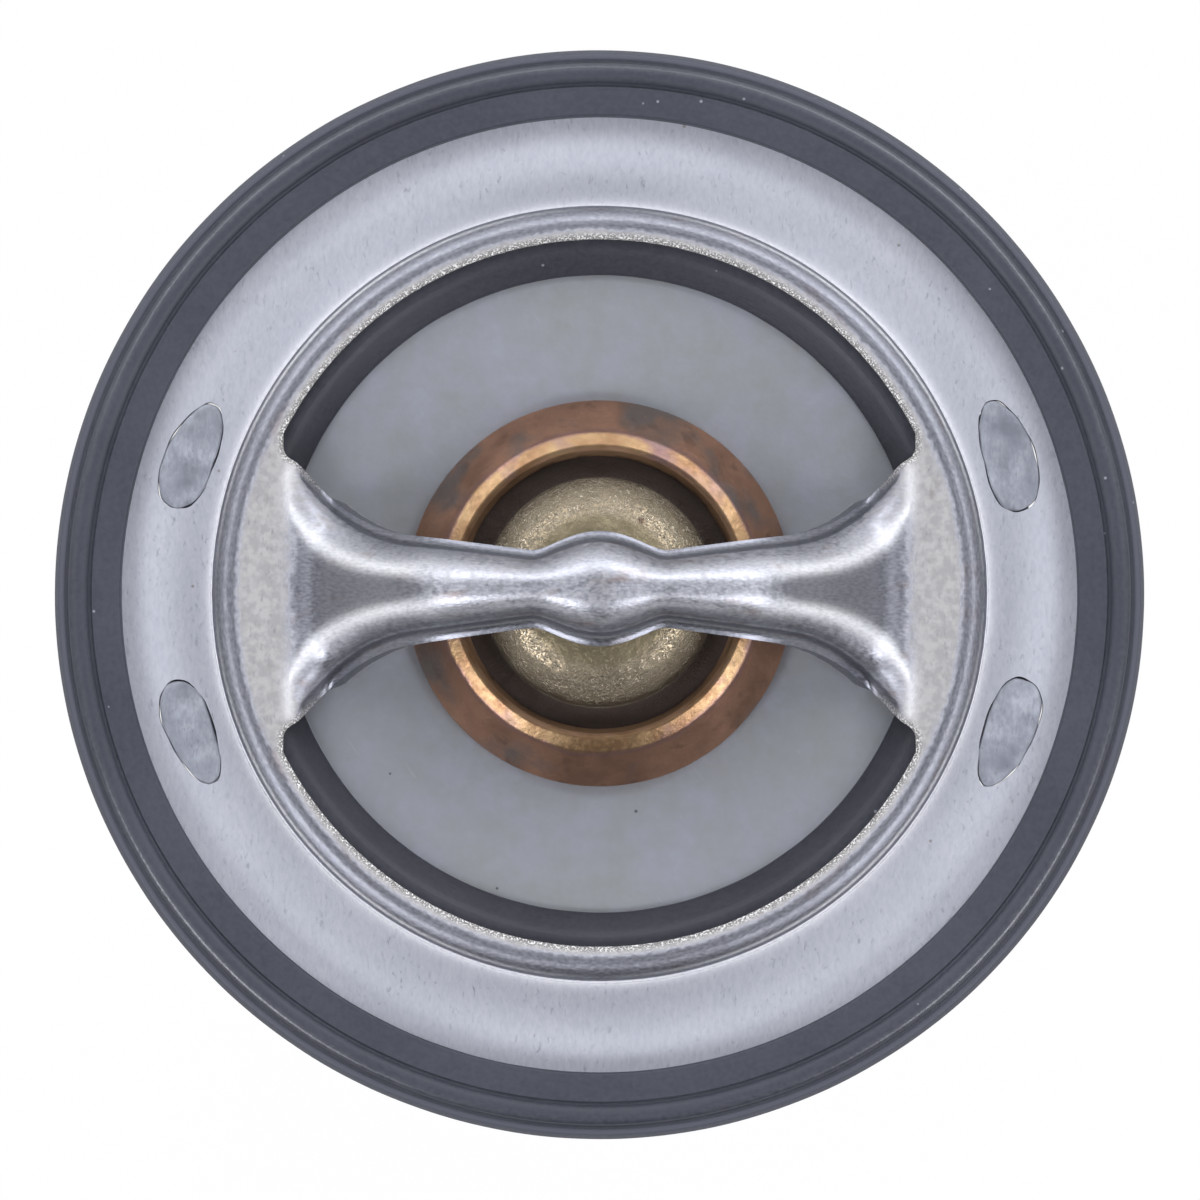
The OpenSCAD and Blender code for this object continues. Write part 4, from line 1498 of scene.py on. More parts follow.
        # Painted highlight beside each foot's corner.
        corner = 0.45 * np.exp(-((far - self.notch_x - 0.1) / 0.4) ** 2)
        corner = corner * self.step((side - 3.4) / 2.4) * self.step((8.4 - side) / 1.0)
        # Painted highlight near the cut edge at the feet.
        edge = 0.4 * self.step((far - 17) / 2) * self.step((gap - 0.5) / -0.5)
        painted_highlight_level = np.maximum(painted_highlight_level, np.maximum(corner, edge))
        sheared = near * np.clip(1 - gap / 0.4, 0, 1)
        return np.stack([burnish_and_painted_dark, sheared, painted_highlight_level, top[..., 0], across], -1)

    def plate_marks(self, plate: np.ndarray, gap: np.ndarray) -> np.ndarray:
        """Marks the flat plate between the opening and the shoulder.

        Args:
            plate: Its points.
            gap: Distance of each from the punched edge.

        Returns:
            Five marks for each point.
        """
        reach = np.linalg.norm(plate[..., :2], axis=-1)
        angle = np.abs(np.arctan2(plate[..., 1], plate[..., 0]))
        # Burnish ramps up next to the shoulder and round the bridge's feet; past about 0.6 it is painted
        # dark reflection.
        burnish_and_painted_dark = np.clip((reach - self.flat_r + 0.42) / 0.36, 0, 1)
        by_foot = 1 - self.step((np.abs(plate[..., 1]) - 7.5) / 1.5)
        burnish_and_painted_dark = np.maximum(burnish_and_painted_dark, self.rubbed_and_painted_dark(plate) * by_foot)
        # Cut edge, carrying painted glints.
        sheared = np.clip(1.15 - gap / 0.36, 0, 1)
        side, edge = np.abs(plate[..., 0]), np.abs(plate[..., 1])
        # Painted highlight beside each foot's corner.
        corner = 0.45 * np.exp(-((side - self.notch_x - 0.1) / 0.4) ** 2)
        corner = corner * self.step((edge - 3.4) / 2.4) * self.step((8.4 - edge) / 1.0)
        return np.stack([burnish_and_painted_dark, sheared, corner, angle * self.flat_r, reach], -1)

    def collar_marks(self, collar: np.ndarray, section: np.ndarray) -> np.ndarray:
        """Marks the collar and the flange, with painted dark bands on the drawn shoulder and painted
        highlights on the fillet and the shoulder.

        Args:
            collar: Their points.
            section: The section that they turn.

        Returns:
            Five marks for each point.
        """
        steps = np.linalg.norm(np.diff(section, axis=0), axis=-1)
        across = np.concatenate([[0], np.cumsum(steps)]) + self.flat_r
        angle = np.abs(np.arctan2(collar[..., 1], collar[..., 0]))
        reach = section[:, 0]
        above = np.clip((section[:, 1] - self.face_z - self.root_r * 0.5) / (self.root_r * 0.8), 0, 1)
        turned = np.array([0, 0.12, 0.26, 0.4, 0.85, 1.1]) + self.flat_r
        # Shoulder bands past about 0.6 take the dark colour: painted dark reflection on the drawn shoulder.
        burnish_and_painted_dark = above * np.interp(reach, turned, [1.0, 1.1, 1.1, 0.8, 1.15, 0.95])
        on_face = (section[:, 1] > self.face_z - 0.01) & (reach > self.wall_r + 0.02)
        # Painted highlight: a bright ring on the fillet at the wall's foot.
        pale = np.where(on_face, 0.85 * np.exp(-np.abs(reach - self.wall_r - 0.18) / 0.22), 0)
        shape = collar.shape[:2]
        # Painted highlight: a thin line on the shoulder, brightest towards the four diagonal soft boxes.
        line = above * np.exp(-((reach - self.flat_r - 1.07) / 0.08) ** 2)
        pale = pale + line * (0.08 + 0.8 * np.abs(np.sin(2 * angle)))
        return np.stack(
            [np.broadcast_to(burnish_and_painted_dark, shape), np.zeros(shape), pale,
             angle * self.flat_r, np.broadcast_to(across, shape)], -1,
        )

    def torn_edge(self, high: np.ndarray, low: np.ndarray, seed: int) -> tuple[np.ndarray, np.ndarray]:
        """Makes the cut face between the upper and lower edge of a window.

        Args:
            high: Points of the upper edge, round the window.
            low: Points of the lower edge.
            seed: Picks one pattern of tearing.

        Returns:
            The points and their marks.
        """
        random = np.random.default_rng(seed)
        depth = np.linspace(0, 1, 6)[None, :, None]
        face = high[:, None] * (1 - depth) + low[:, None] * depth
        along = np.gradient(high, axis=0)
        out = np.cross(along, high - low)
        out /= np.maximum(np.linalg.norm(out, axis=1, keepdims=True), 1e-9)
        push = random.uniform(-0.02, 0.03, face.shape[:2])
        push[:, 0] = push[:, -1] = 0
        push[0] = push[-1] = 0
        face = face + out[:, None] * push[..., None]
        marks = np.zeros(face.shape[:2] + (5,))
        far, side = np.abs(high[:, :1]), np.abs(high[:, 1:2])
        bridge = (far < self.notch_x - 0.05) & (side < self.half(far) + 0.05)
        # Cut faces on the bridge take the painted dark; those round the windows take the painted glints.
        marks[..., 1] = np.where(bridge, 0.1, 0.8)
        marks[..., 0] = np.where(bridge, 1.25, 0.0)
        return face, marks


@dataclass
class StakedYoke:
    """The stamped yoke: a drawn neck and base, two bent legs and four tabs staked through the flange."""

    sheet: float = 1.2
    tab_r: float = 26.8
    tabs: tuple[tuple[float, ...], ...] = (
        (18.8, 7.2, 3.3, 0.04, -0.16, 0.18),
        (161.2, 7.0, 3.2, 0.05, 0.14, 0.15),
        (198.8, 6.9, 3.0, -0.04, -0.18, 0.12),
        (341.2, 7.2, 3.2, 0.03, 0.20, 0.16),
    )
    tab_gap: float = 0.045
    tab_top: float = 0.6
    flange_half: float = 0.5
    leg_top_half: float = 12.4
    leg_base_half: float = 9.0
    leg_drop: float = 11.0
    base_r: float = 17.0
    base_depth: float = 21.0
    neck_r: float = 7.5
    neck_h: float = 3.0
    bend_r: float = 1.8

    def lens(self, grow: float, index: int, wave: float = 0.0, shares: int = 96) -> np.ndarray:
        """Makes the uneven almond outline of one staked tab.

        Args:
            grow: Width added all round.
            index: Picks one of the tabs.
            wave: Shifts the unevenness round the outline.
            shares: Number of points.

        Returns:
            Points round the outline, long in Y.
        """
        _, long, wide, lean, belly, bow = self.tabs[index]
        angle = np.linspace(0, math.tau, shares, endpoint=False)
        cos, sin = np.cos(angle), np.sin(angle)
        y = long / 2 * np.sign(sin) * np.abs(sin) ** 0.92
        x = wide / 2 * np.sign(cos) * np.abs(cos) ** 0.86 * (1 + belly * sin - 0.06 * sin ** 4)
        x = x + lean * y + bow * cos ** 2
        ripple = 0.04 * np.sin(5 * angle + index + wave) + 0.02 * np.sin(11 * angle + 2 * index + wave)
        outline = np.stack([x, y], -1)
        outward = outline / np.linalg.norm(outline, axis=1, keepdims=True)
        return outline + outward * (grow + ripple[:, None] - 0.05)

    def places(self) -> list[float]:
        """Returns the angle of each tab in degrees."""
        return [tab[0] for tab in self.tabs]

    def at(self, outline: np.ndarray, angle: float) -> np.ndarray:
        """Moves an outline to its place on the flange.

        Args:
            outline: Points about its own middle.
            angle: The tab's angle in degrees.

        Returns:
            The moved points.
        """
        a = math.radians(angle)
        x, y = outline[:, 0] + self.tab_r, outline[:, 1]
        return np.stack([x * math.cos(a) - y * math.sin(a), x * math.sin(a) + y * math.cos(a)], -1)

    def cut_slots(self, flange: bpy.types.Object) -> None:
        """Cuts the tabs' slots out of the flange.

        Args:
            flange: The pressing.
        """
        points, faces, start = [], [], 0
        for i, angle in enumerate(self.places()):
            outline = self.at(self.lens(self.tab_gap, i, 1.6), angle)
            count = len(outline)
            for z in (-self.flange_half - 0.4, self.flange_half + 0.4):
                points.append(np.column_stack([outline, np.full(count, z)]))
            faces += [
                [start + k, start + (k + 1) % count, start + count + (k + 1) % count, start + count + k]
                for k in range(count)
            ]
            faces.append(list(range(start, start + count))[::-1])
            faces.append(list(range(start + count, start + 2 * count)))
            start += 2 * count
        cutter = mesh_object("slot_cutter", np.concatenate(points), faces)
        cut = flange.modifiers.new("slots", "BOOLEAN")
        cut.object = cutter
        cut.operation = "DIFFERENCE"
        cut.solver = "EXACT"
        settle(flange)
        bpy.data.objects.remove(cutter)

    def head(self, index: int, angle: float) -> tuple[np.ndarray, list[list[int]]]:
        """Builds one staked head, coined a little hollow.

        Args:
            index: Picks the tab's outline.
            angle: The tab's angle in degrees.

        Returns:
            Its points and faces.
        """
        outline = self.lens(0.0, index)
        high = self.tab_top
        levels = [
            (1.0, -self.flange_half), (1.0, self.flange_half - 0.12), (0.985, self.flange_half - 0.03),
            (0.96, high - 0.03), (0.93, high), (0.89, high - 0.01), (0.82, high - 0.05),
            (0.72, high - 0.12), (0.6, high - 0.17), (0.45, high - 0.2), (0.3, high - 0.2),
            (0.12, high - 0.2),
        ]
        rings = []
        for share, z in levels:
            inner = outline * share
            sway = np.sin(1.9 * inner[:, 1] + index)
            sway = sway + 0.7 * np.sin(3.3 * inner[:, 0] - inner[:, 1] + 2 * index)
            sink = (0.09 - 0.052 * sway) * (share < 0.975)
            rings.append(np.column_stack([self.at(inner, angle), z - sink]))
        count = len(outline)
        points = np.concatenate(rings)
        faces = [
            [
                r * count + k, r * count + (k + 1) % count,
                (r + 1) * count + (k + 1) % count, (r + 1) * count + k,
            ]
            for r in range(len(levels) - 1) for k in range(count)
        ]
        faces.append(list(range(count))[::-1])
        faces.append([(len(levels) - 1) * count + k for k in range(count)])
        return points, faces

    def sheet_line(self) -> list[Point]:
        """Draws the middle of the sheet from the neck's top out to the leg's top.

        Returns:
            Radius and height of each point.
        """
        mid_z = -self.base_depth - self.sheet / 2
        neck_x = self.neck_r + self.sheet / 2
        heel = Vector((self.base_r + self.bend_r, mid_z))
        corners = [
            Vector((neck_x, -self.base_depth + self.neck_h)),
            Vector((neck_x, mid_z)),
            heel,
            Vector((self.tab_r, -self.leg_drop)),
            Vector((self.tab_r, -self.flange_half - 0.01)),
        ]
        line = [tuple(corners[0])]
        for before, here, after in zip(corners, corners[1:], corners[2:]):
            start, end = (before - here).normalized(), (after - here).normalized()
            turn = start.angle(end)
            reach = self.bend_r / math.tan(turn / 2)
            for k in range(9):
                t = k / 8
                spot = (here + start * reach) * (1 - t) ** 2 + here * 2 * t * (1 - t)
                spot = spot + (here + end * reach) * t ** 2
                line.append((spot.x, spot.y))
        return line + [tuple(corners[-1])]

    def make(self) -> bpy.types.Object:
        """Builds the yoke from its sheet's middle, thickened and bevelled, with its staked heads.

        Returns:
            The piece.
        """
        line = self.sheet_line()
        dense: list[Point] = []
        for a, b in zip(line, line[1:]):
            parts = max(1, round(math.dist(a, b) / 0.9))
            dense += [
                (a[0] + (b[0] - a[0]) * k / parts, a[1] + (b[1] - a[1]) * k / parts)
                for k in range(parts)
            ]
        dense.append(line[-1])
        flare = (self.leg_top_half - self.leg_base_half) / (self.tab_r - self.base_r)
        spread = math.asin(self.leg_base_half / self.base_r)
        leg_parts, gap_parts = 28, 44
        angles, share_in_leg = [], []
        for side in (0, math.pi):
            for k in range(leg_parts + 1):
                angles.append(side - spread + 2 * spread * k / leg_parts)
                share_in_leg.append((side, 2 * k / leg_parts - 1))
            gap = math.pi - 2 * spread
            for k in range(1, gap_parts):
                angles.append(side + spread + gap * k / gap_parts)
                share_in_leg.append(None)
        inside = [i for i, (r, _) in enumerate(dense) if r < self.base_r]
        reach = inside[-1] + 1
        rows = dense[:reach] + [(self.base_r, dense[reach - 1][1])]
        points = [
            (r * math.cos(a), r * math.sin(a), z) for a in angles for r, z in rows
        ]
        faces = grid_faces(len(angles), len(rows), True).tolist()
        for side in (0, math.pi):
            own = [i for i, leg in enumerate(share_in_leg) if leg and leg[0] == side]
            previous = [i * len(rows) + len(rows) - 1 for i in own]
            for r, z in dense[reach:]:
                width = math.asin(min(1, (self.leg_base_half + (r * 0.9 - self.base_r) * flare) / r))
                fresh = []
                for i in own:
                    a = side + width * share_in_leg[i][1]
                    fresh.append(len(points))
                    points.append((r * math.cos(a), r * math.sin(a), z))
                faces += [
                    [previous[k], fresh[k], fresh[k + 1], previous[k + 1]] for k in range(len(own) - 1)
                ]
                previous = fresh
        piece = mesh_object("staked_yoke", np.array(points), faces)
        solid = piece.modifiers.new("sheet", "SOLIDIFY")
        solid.thickness = self.sheet * MM
        solid.offset = 0
        solid.use_even_offset = True
        bevel = piece.modifiers.new("edges", "BEVEL")
        bevel.width = 0.18 * MM
        bevel.segments = 2
        bevel.limit_method = "ANGLE"
        bevel.angle_limit = math.radians(50)
        settle(piece)
        shell = bmesh.new()
        shell.from_mesh(piece.data)
        for i, angle in enumerate(self.places()):
            spots, quads = self.head(i, angle)
            made = [shell.verts.new(Vector(p) * MM) for p in spots]
            for quad in quads:
                shell.faces.new([made[k] for k in quad])
        bmesh.ops.recalc_face_normals(shell, faces=shell.faces)
        shell.to_mesh(piece.data)
        shell.free()
        piece.data.polygons.foreach_set("use_smooth", [True] * len(piece.data.polygons))
        piece.data.set_sharp_from_angle(angle=math.radians(38))
        return piece


@dataclass
class RimGasket:
    """The moulded gasket that grips the flange's rim, with a bead, grooves and a lip on each face."""

    outer_r: float = 34.0
    band: float = 4.15
    half_h: float = 2.0
    bead_in: float = 1.46
    bead_w: float = 1.3
    bead_h: float = 0.44
    groove_w: float = 0.25
    groove_d: float = 0.1
    outer_d: float = 0.05
    edge_round: float = 0.56
    rim_r: float = 32.0
    slot_half: float = 0.5

    def outline(self) -> list[Point]:
        """Draws the section of the gasket.

        Returns:
            Radius and height of each point.
        """
        inner = self.outer_r - self.band
        bead_r = self.outer_r - self.bead_in
        low, high = bead_r - self.bead_w / 2, bead_r + self.bead_w / 2
        edge: list[Corner] = [
            (inner, self.slot_half, 0.05),
            (inner, self.half_h, 0.22),
            (low - self.groove_w, self.half_h, 0.12),
            (low - self.groove_w * 0.6, self.half_h - self.groove_d, 0.06),
            (low, self.half_h - self.groove_d, 0.06),
        ]
        edge += [
            (bead_r + self.bead_w / 2 * math.cos(a), self.half_h + self.bead_h * math.sin(a), 0.0)
            for a in np.linspace(math.pi * 0.98, math.pi * 0.02, 13)
        ]
        edge += [
            (high, self.half_h - self.outer_d, 0.06),
            (high + self.groove_w * 0.6, self.half_h - self.outer_d, 0.06),
            (high + self.groove_w, self.half_h, 0.12),
            (self.outer_r - 0.28, self.half_h - 0.04, 0.2),
            (self.outer_r, self.half_h - self.edge_round, 0.4),
        ]
        mirrored = [(r, -z, fillet) for r, z, fillet in reversed(edge)]
        slot: list[Corner] = [
            (self.rim_r + 0.03, -self.slot_half, 0.0),
            (self.rim_r + 0.03, self.slot_half, 0.0),
        ]
        return rounded(edge + mirrored + slot)


@dataclass
class ValveHead:
    """The valve plate with its bonded rubber seal."""

    plate_z: float = 1.6
    plate_t: float = 1.0
    plate_r: float = 21.5
    hole_r: float = 7.23
    edge_up: float = 0.8
    seal_in: float = 19.9
    seal_r: float = 22.8
    seat_z: float = 3.2
    seal_under: float = 0.9

    def plate(self) -> list[Point]:
        """Draws the section of the plate with its turned-up edge.

        Returns:
            Radius and height of each point.
        """
        low = self.plate_z - self.plate_t
        inner = self.plate_r - self.plate_t
        return rounded([
            (self.hole_r, low, 0.1),
            (self.plate_r, low, 0.5),
            (self.plate_r, self.plate_z + self.edge_up, 0.2),
            (inner, self.plate_z + self.edge_up, 0.2),
            (inner, self.plate_z, 0.15),
            (14.0, self.plate_z, 0.0),
            (self.hole_r, self.plate_z, 0.1),
        ])

    def seal(self) -> list[Point]:
        """Draws the section of the seal, with a rolled sealing lip.

        Returns:
            Radius and height of each point.
        """
        under = self.plate_z - self.plate_t - self.seal_under
        low = self.plate_z - self.plate_t
        inner = self.plate_r - self.plate_t
        lift = self.plate_z + self.edge_up
        gap = 0.01
        return rounded([
            (self.seal_in, self.plate_z + gap, 0.0),
            (self.seal_in + 0.05, self.plate_z + 0.42, 0.3),
            (self.seal_in + 1.5, self.seat_z - 0.02, 1.3),
            (self.seal_r - 0.3, self.seat_z, 0.3),
            (self.seal_r, self.seat_z - 0.5, 0.3),
            (self.seal_r, under + 0.4, 0.25),
            (self.seal_r - 0.4, under, 0.25),
            (self.seal_in + 0.4, under, 0.25),
            (self.seal_in, under + 0.45, 0.25),
            (self.seal_in, low - gap, 0.0),
            (self.plate_r + gap, low - gap, 0.4),
            (self.plate_r + gap, lift + gap, 0.1),
            (inner - gap, lift + gap, 0.1),
            (inner - gap, self.plate_z + gap, 0.0),
        ])


@dataclass
class WaxElement:
    """The wax element: rolled cup, wax, squeeze boot, brass guide and ground piston."""

    plate_z: float = 1.6
    crimp_r: float = 12.05
    crest_r: float = 9.6
    crimp_in_r: float = 8.5
    crest_z: float = 5.2
    cup_r: float = 7.2
    cup_wall: float = 0.8
    cup_floor: float = -24.0
    cup_round: float = 1.6
    boot_z: float = 2.4
    guide_z: float = 2.9
    groove_z: float = 3.6
    dome_r: float = 7.1
    dome_h: float = 3.1
    dome_top: float = 8.5
    guide_flange: float = 0.7
    piston_r: float = 2.0
    bore_gap: float = 0.04
    boot_wall: float = 1.3
    piston_low: float = -20.4
    piston_top: float = 13.0
    hold_gap: float = 0.03

    def cup(self) -> list[Point]:
        """Draws the section of the cup, from its floor over the rolled rim and back down.

        Returns:
            Radius and height of each point.
        """
        inner = self.cup_r - self.cup_wall
        pack = self.crimp_r - self.cup_wall
        return rounded([
            (0.0, self.cup_floor, 0.0),
            (self.cup_r, self.cup_floor, self.cup_round),
            (self.cup_r, self.plate_z, 0.0),
            (self.crimp_r, self.plate_z, 0.08),
            (self.crimp_r, self.plate_z + 0.75, 0.35),
            (9.95, 4.76, 0.6),
            (9.1, self.crest_z, 0.4),
            (8.8, 5.05, 0.2),
            (self.crimp_in_r, 4.3, 0.2),
            (self.crimp_in_r, self.groove_z, 0.05),
            (self.crimp_in_r + self.cup_wall, self.groove_z, 0.0),
            (self.crimp_in_r + self.cup_wall, self.crest_z - self.cup_wall, 0.1),
            (self.crest_r + self.hold_gap, self.crest_z - self.cup_wall, 0.1),
            (pack, self.guide_z, 0.1),
            (pack, self.boot_z, 0.1),
            (inner, self.boot_z, 0.1),
            (inner, self.cup_floor + self.cup_wall, self.cup_round - self.cup_wall),
            (0.0, self.cup_floor + self.cup_wall, 0.0),
        ], 6)[:-1]

    def wax(self) -> list[Point]:
        """Draws the section of the wax charge.

        Returns:
            Radius and height of each point.
        """
        outer = self.cup_r - self.cup_wall - self.hold_gap
        boot = self.piston_r + self.bore_gap + self.boot_wall + self.hold_gap
        low = self.piston_low - self.boot_wall - self.hold_gap
        return rounded([
            (0.0, self.cup_floor + self.cup_wall, 0.0),
            (outer, self.cup_floor + self.cup_wall, 0.8),
            (outer, self.boot_z, 0.1),
            (boot, self.boot_z, 0.1),
            (boot, low, 0.1),
            (0.0, low, 0.0),
        ])[:-1]

    def boot(self) -> list[Point]:
        """Draws the section of the squeeze boot.

        Returns:
            Radius and height of each point.
        """
        bore = self.piston_r + self.bore_gap
        outer = bore + self.boot_wall
        low = self.piston_low - self.boot_wall
        pack = self.crimp_r - self.cup_wall - self.hold_gap
        return rounded([
            (0.0, low, 0.0),
            (outer, low, 0.4),
            (outer, self.boot_z, 0.1),
            (pack, self.boot_z, 0.05),
            (pack, self.guide_z, 0.05),
            (bore, self.guide_z, 0.05),
            (bore, self.piston_low + 3.2, 0.2),
            (self.piston_r / 2 + self.bore_gap, self.piston_low - self.bore_gap, 0.1),
            (0.0, self.piston_low - self.bore_gap, 0.0),
        ])[:-1]

    def guide(self) -> list[Point]:
        """Draws the section of the guide, with its domed top and bore.

        Returns:
            Radius and height of each point.
        """
        bore = self.piston_r + self.bore_gap
        pack = self.crimp_r - self.cup_wall - self.hold_gap
        collar = self.crimp_in_r + self.cup_wall + self.hold_gap
        shares = 1 - np.linspace(0, 1, 15)[:-1] ** 2 * (1 - (bore + self.guide_flange) / self.dome_r)
        rise = self.dome_h * np.sqrt(1 - shares ** 3)
        dome = list(zip(self.dome_r * shares, self.dome_top - self.dome_h + rise))
        corners: list[Corner] = [
            (bore, self.guide_z, 0.05),
            (pack, self.guide_z, 0.05),
            (self.crest_r, self.crest_z - self.cup_wall - self.hold_gap, 0.05),
            (collar, self.crest_z - self.cup_wall - self.hold_gap, 0.05),
            (collar, self.groove_z, 0.0),
            (self.dome_r, self.groove_z, 0.2),
        ]
        corners += [(r, z, 0.0) for r, z in dome]
        corners += [
            (bore + self.guide_flange / 2, self.dome_top - self.guide_flange / 6, 0.1),
            (bore, self.dome_top - self.guide_flange, 0.1),
        ]
        return rounded(corners)

    def piston(self) -> list[Point]:
        """Draws the section of the piston.

        Returns:
            Radius and height of each point.
        """
        return rounded([
            (0.0, self.piston_low, 0.0),
            (self.piston_r / 2, self.piston_low, 0.2),
            (self.piston_r, self.piston_low + 3.2, 0.3),
            (self.piston_r, self.piston_top - 0.4, 0.1),
            (self.piston_r - 0.4, self.piston_top, 0.1),
            (0.0, self.piston_top, 0.0),
        ])[:-1]


@dataclass
class BypassValve:
    """The bypass side: stud, dished plate, washer and circlip."""

    stem_top: float = -24.0
    shoulder_r: float = 5.6
    shoulder_t: float = 1.0
    stem_r: float = 2.5
    hub_z: float = -36.8
    plate_t: float = 1.2
    hub_r: float = 6.0
    hole_r: float = 2.62
    dish_h: float = 3.5
    plate_r: float = 16.0
    washer_r: float = 5.0
    washer_t: float = 0.6
    clip_r: float = 3.9
    clip_t: float = 0.8
    clip_groove: float = 0.5
    clip_gap: float = 60.0
    tip: float = 0.9

    def __post_init__(self) -> None:
        """Works out the heights of the stack."""
        self.washer_z = self.hub_z - self.plate_t
        self.clip_z = self.washer_z - self.washer_t
        self.stem_low = self.clip_z - self.clip_t - self.tip

    def stem(self) -> list[Point]:
        """Draws the section of the stud with its shoulder and groove.

        Returns:
            Radius and height of each point.
        """
        groove = self.stem_r - self.clip_groove
        return rounded([
            (0.0, self.stem_top, 0.0),
            (self.shoulder_r, self.stem_top, 0.15),
            (self.shoulder_r, self.stem_top - self.shoulder_t, 0.2),
            (self.stem_r, self.stem_top - self.shoulder_t, 0.2),
            (self.stem_r, self.clip_z, 0.05),
            (groove, self.clip_z, 0.05),
            (groove, self.clip_z - self.clip_t, 0.05),
            (self.stem_r, self.clip_z - self.clip_t, 0.05),
            (self.stem_r, self.stem_low + self.tip / 3, 0.1),
            (self.stem_r - self.tip / 3, self.stem_low, 0.1),
            (0.0, self.stem_low, 0.0),
        ])[:-1]

    def plate(self) -> list[Point]:
        """Draws the section of the dished plate.

        Returns:
            Radius and height of each point.
        """
        dish_z = self.washer_z - self.dish_h
        dish_r = self.hub_r + self.dish_h
        half = self.plate_t / 2
        return rounded([
            (self.hole_r, self.washer_z, 0.1),
            (self.hub_r, self.washer_z, 0.7),
            (dish_r, dish_z, 1.4),
            (self.plate_r, dish_z, 0.25),
            (self.plate_r, dish_z + self.plate_t, 0.25),
            (dish_r + half, dish_z + self.plate_t, 0.7),
            (self.hub_r + half, self.hub_z, 1.4),
            (self.hole_r, self.hub_z, 0.1),
        ], 6)

    def washer(self) -> list[Point]:
        """Draws the section of the plain washer.

        Returns:
            Radius and height of each point.
        """
        low, high = self.clip_z, self.clip_z + self.washer_t
        return rounded([
            (self.hole_r, low, 0.05),
            (self.washer_r, low, 0.12),
            (self.washer_r, high, 0.12),
            (self.hole_r, high, 0.05),
        ])

    def clip(self) -> bpy.types.Object:
        """Builds the circlip: an open ring with rounded ears.

        Returns:
            The piece.
        """
        inner = self.stem_r - self.clip_groove + 0.03
        gap = math.radians(self.clip_gap / 2)
        mid, wide = (inner + self.clip_r) / 2, (self.clip_r - inner) / 2
        sweep = np.linspace(gap, math.tau - gap, 61)
        outer = [(self.clip_r * math.cos(a), self.clip_r * math.sin(a)) for a in sweep]
        back = [(inner * math.cos(a), inner * math.sin(a)) for a in sweep[::-1]]
        ears = []
        for a, spin in ((math.tau - gap, 1), (gap, -1)):
            centre = Vector((mid * math.cos(a), mid * math.sin(a)))
            ears.append([
                tuple(centre + Vector((math.cos(b), math.sin(b))) * wide)
                for b in np.linspace(a, a + math.pi, 9)[1:-1]
            ] if spin > 0 else [
                tuple(centre + Vector((math.cos(b), math.sin(b))) * wide)
                for b in np.linspace(a + math.pi, a + math.tau, 9)[1:-1]
            ])
        outline = outer + ears[0] + back + ears[1]
        count = len(outline)
        top, low = self.clip_z, self.clip_z - self.clip_t
        points = np.array([(x, y, z) for z in (low, top) for x, y in outline])
        faces = [[k, (k + 1) % count, count + (k + 1) % count, count + k] for k in range(count)]
        faces += [list(range(count))[::-1], list(range(count, 2 * count))]
        piece = mesh_object("blackened_circlip", points, faces)
        bevel = piece.modifiers.new("edges", "BEVEL")
        bevel.width = 0.08 * MM
        bevel.segments = 2
        bevel.limit_method = "ANGLE"
        bevel.angle_limit = math.radians(50)
        settle(piece)
        return piece


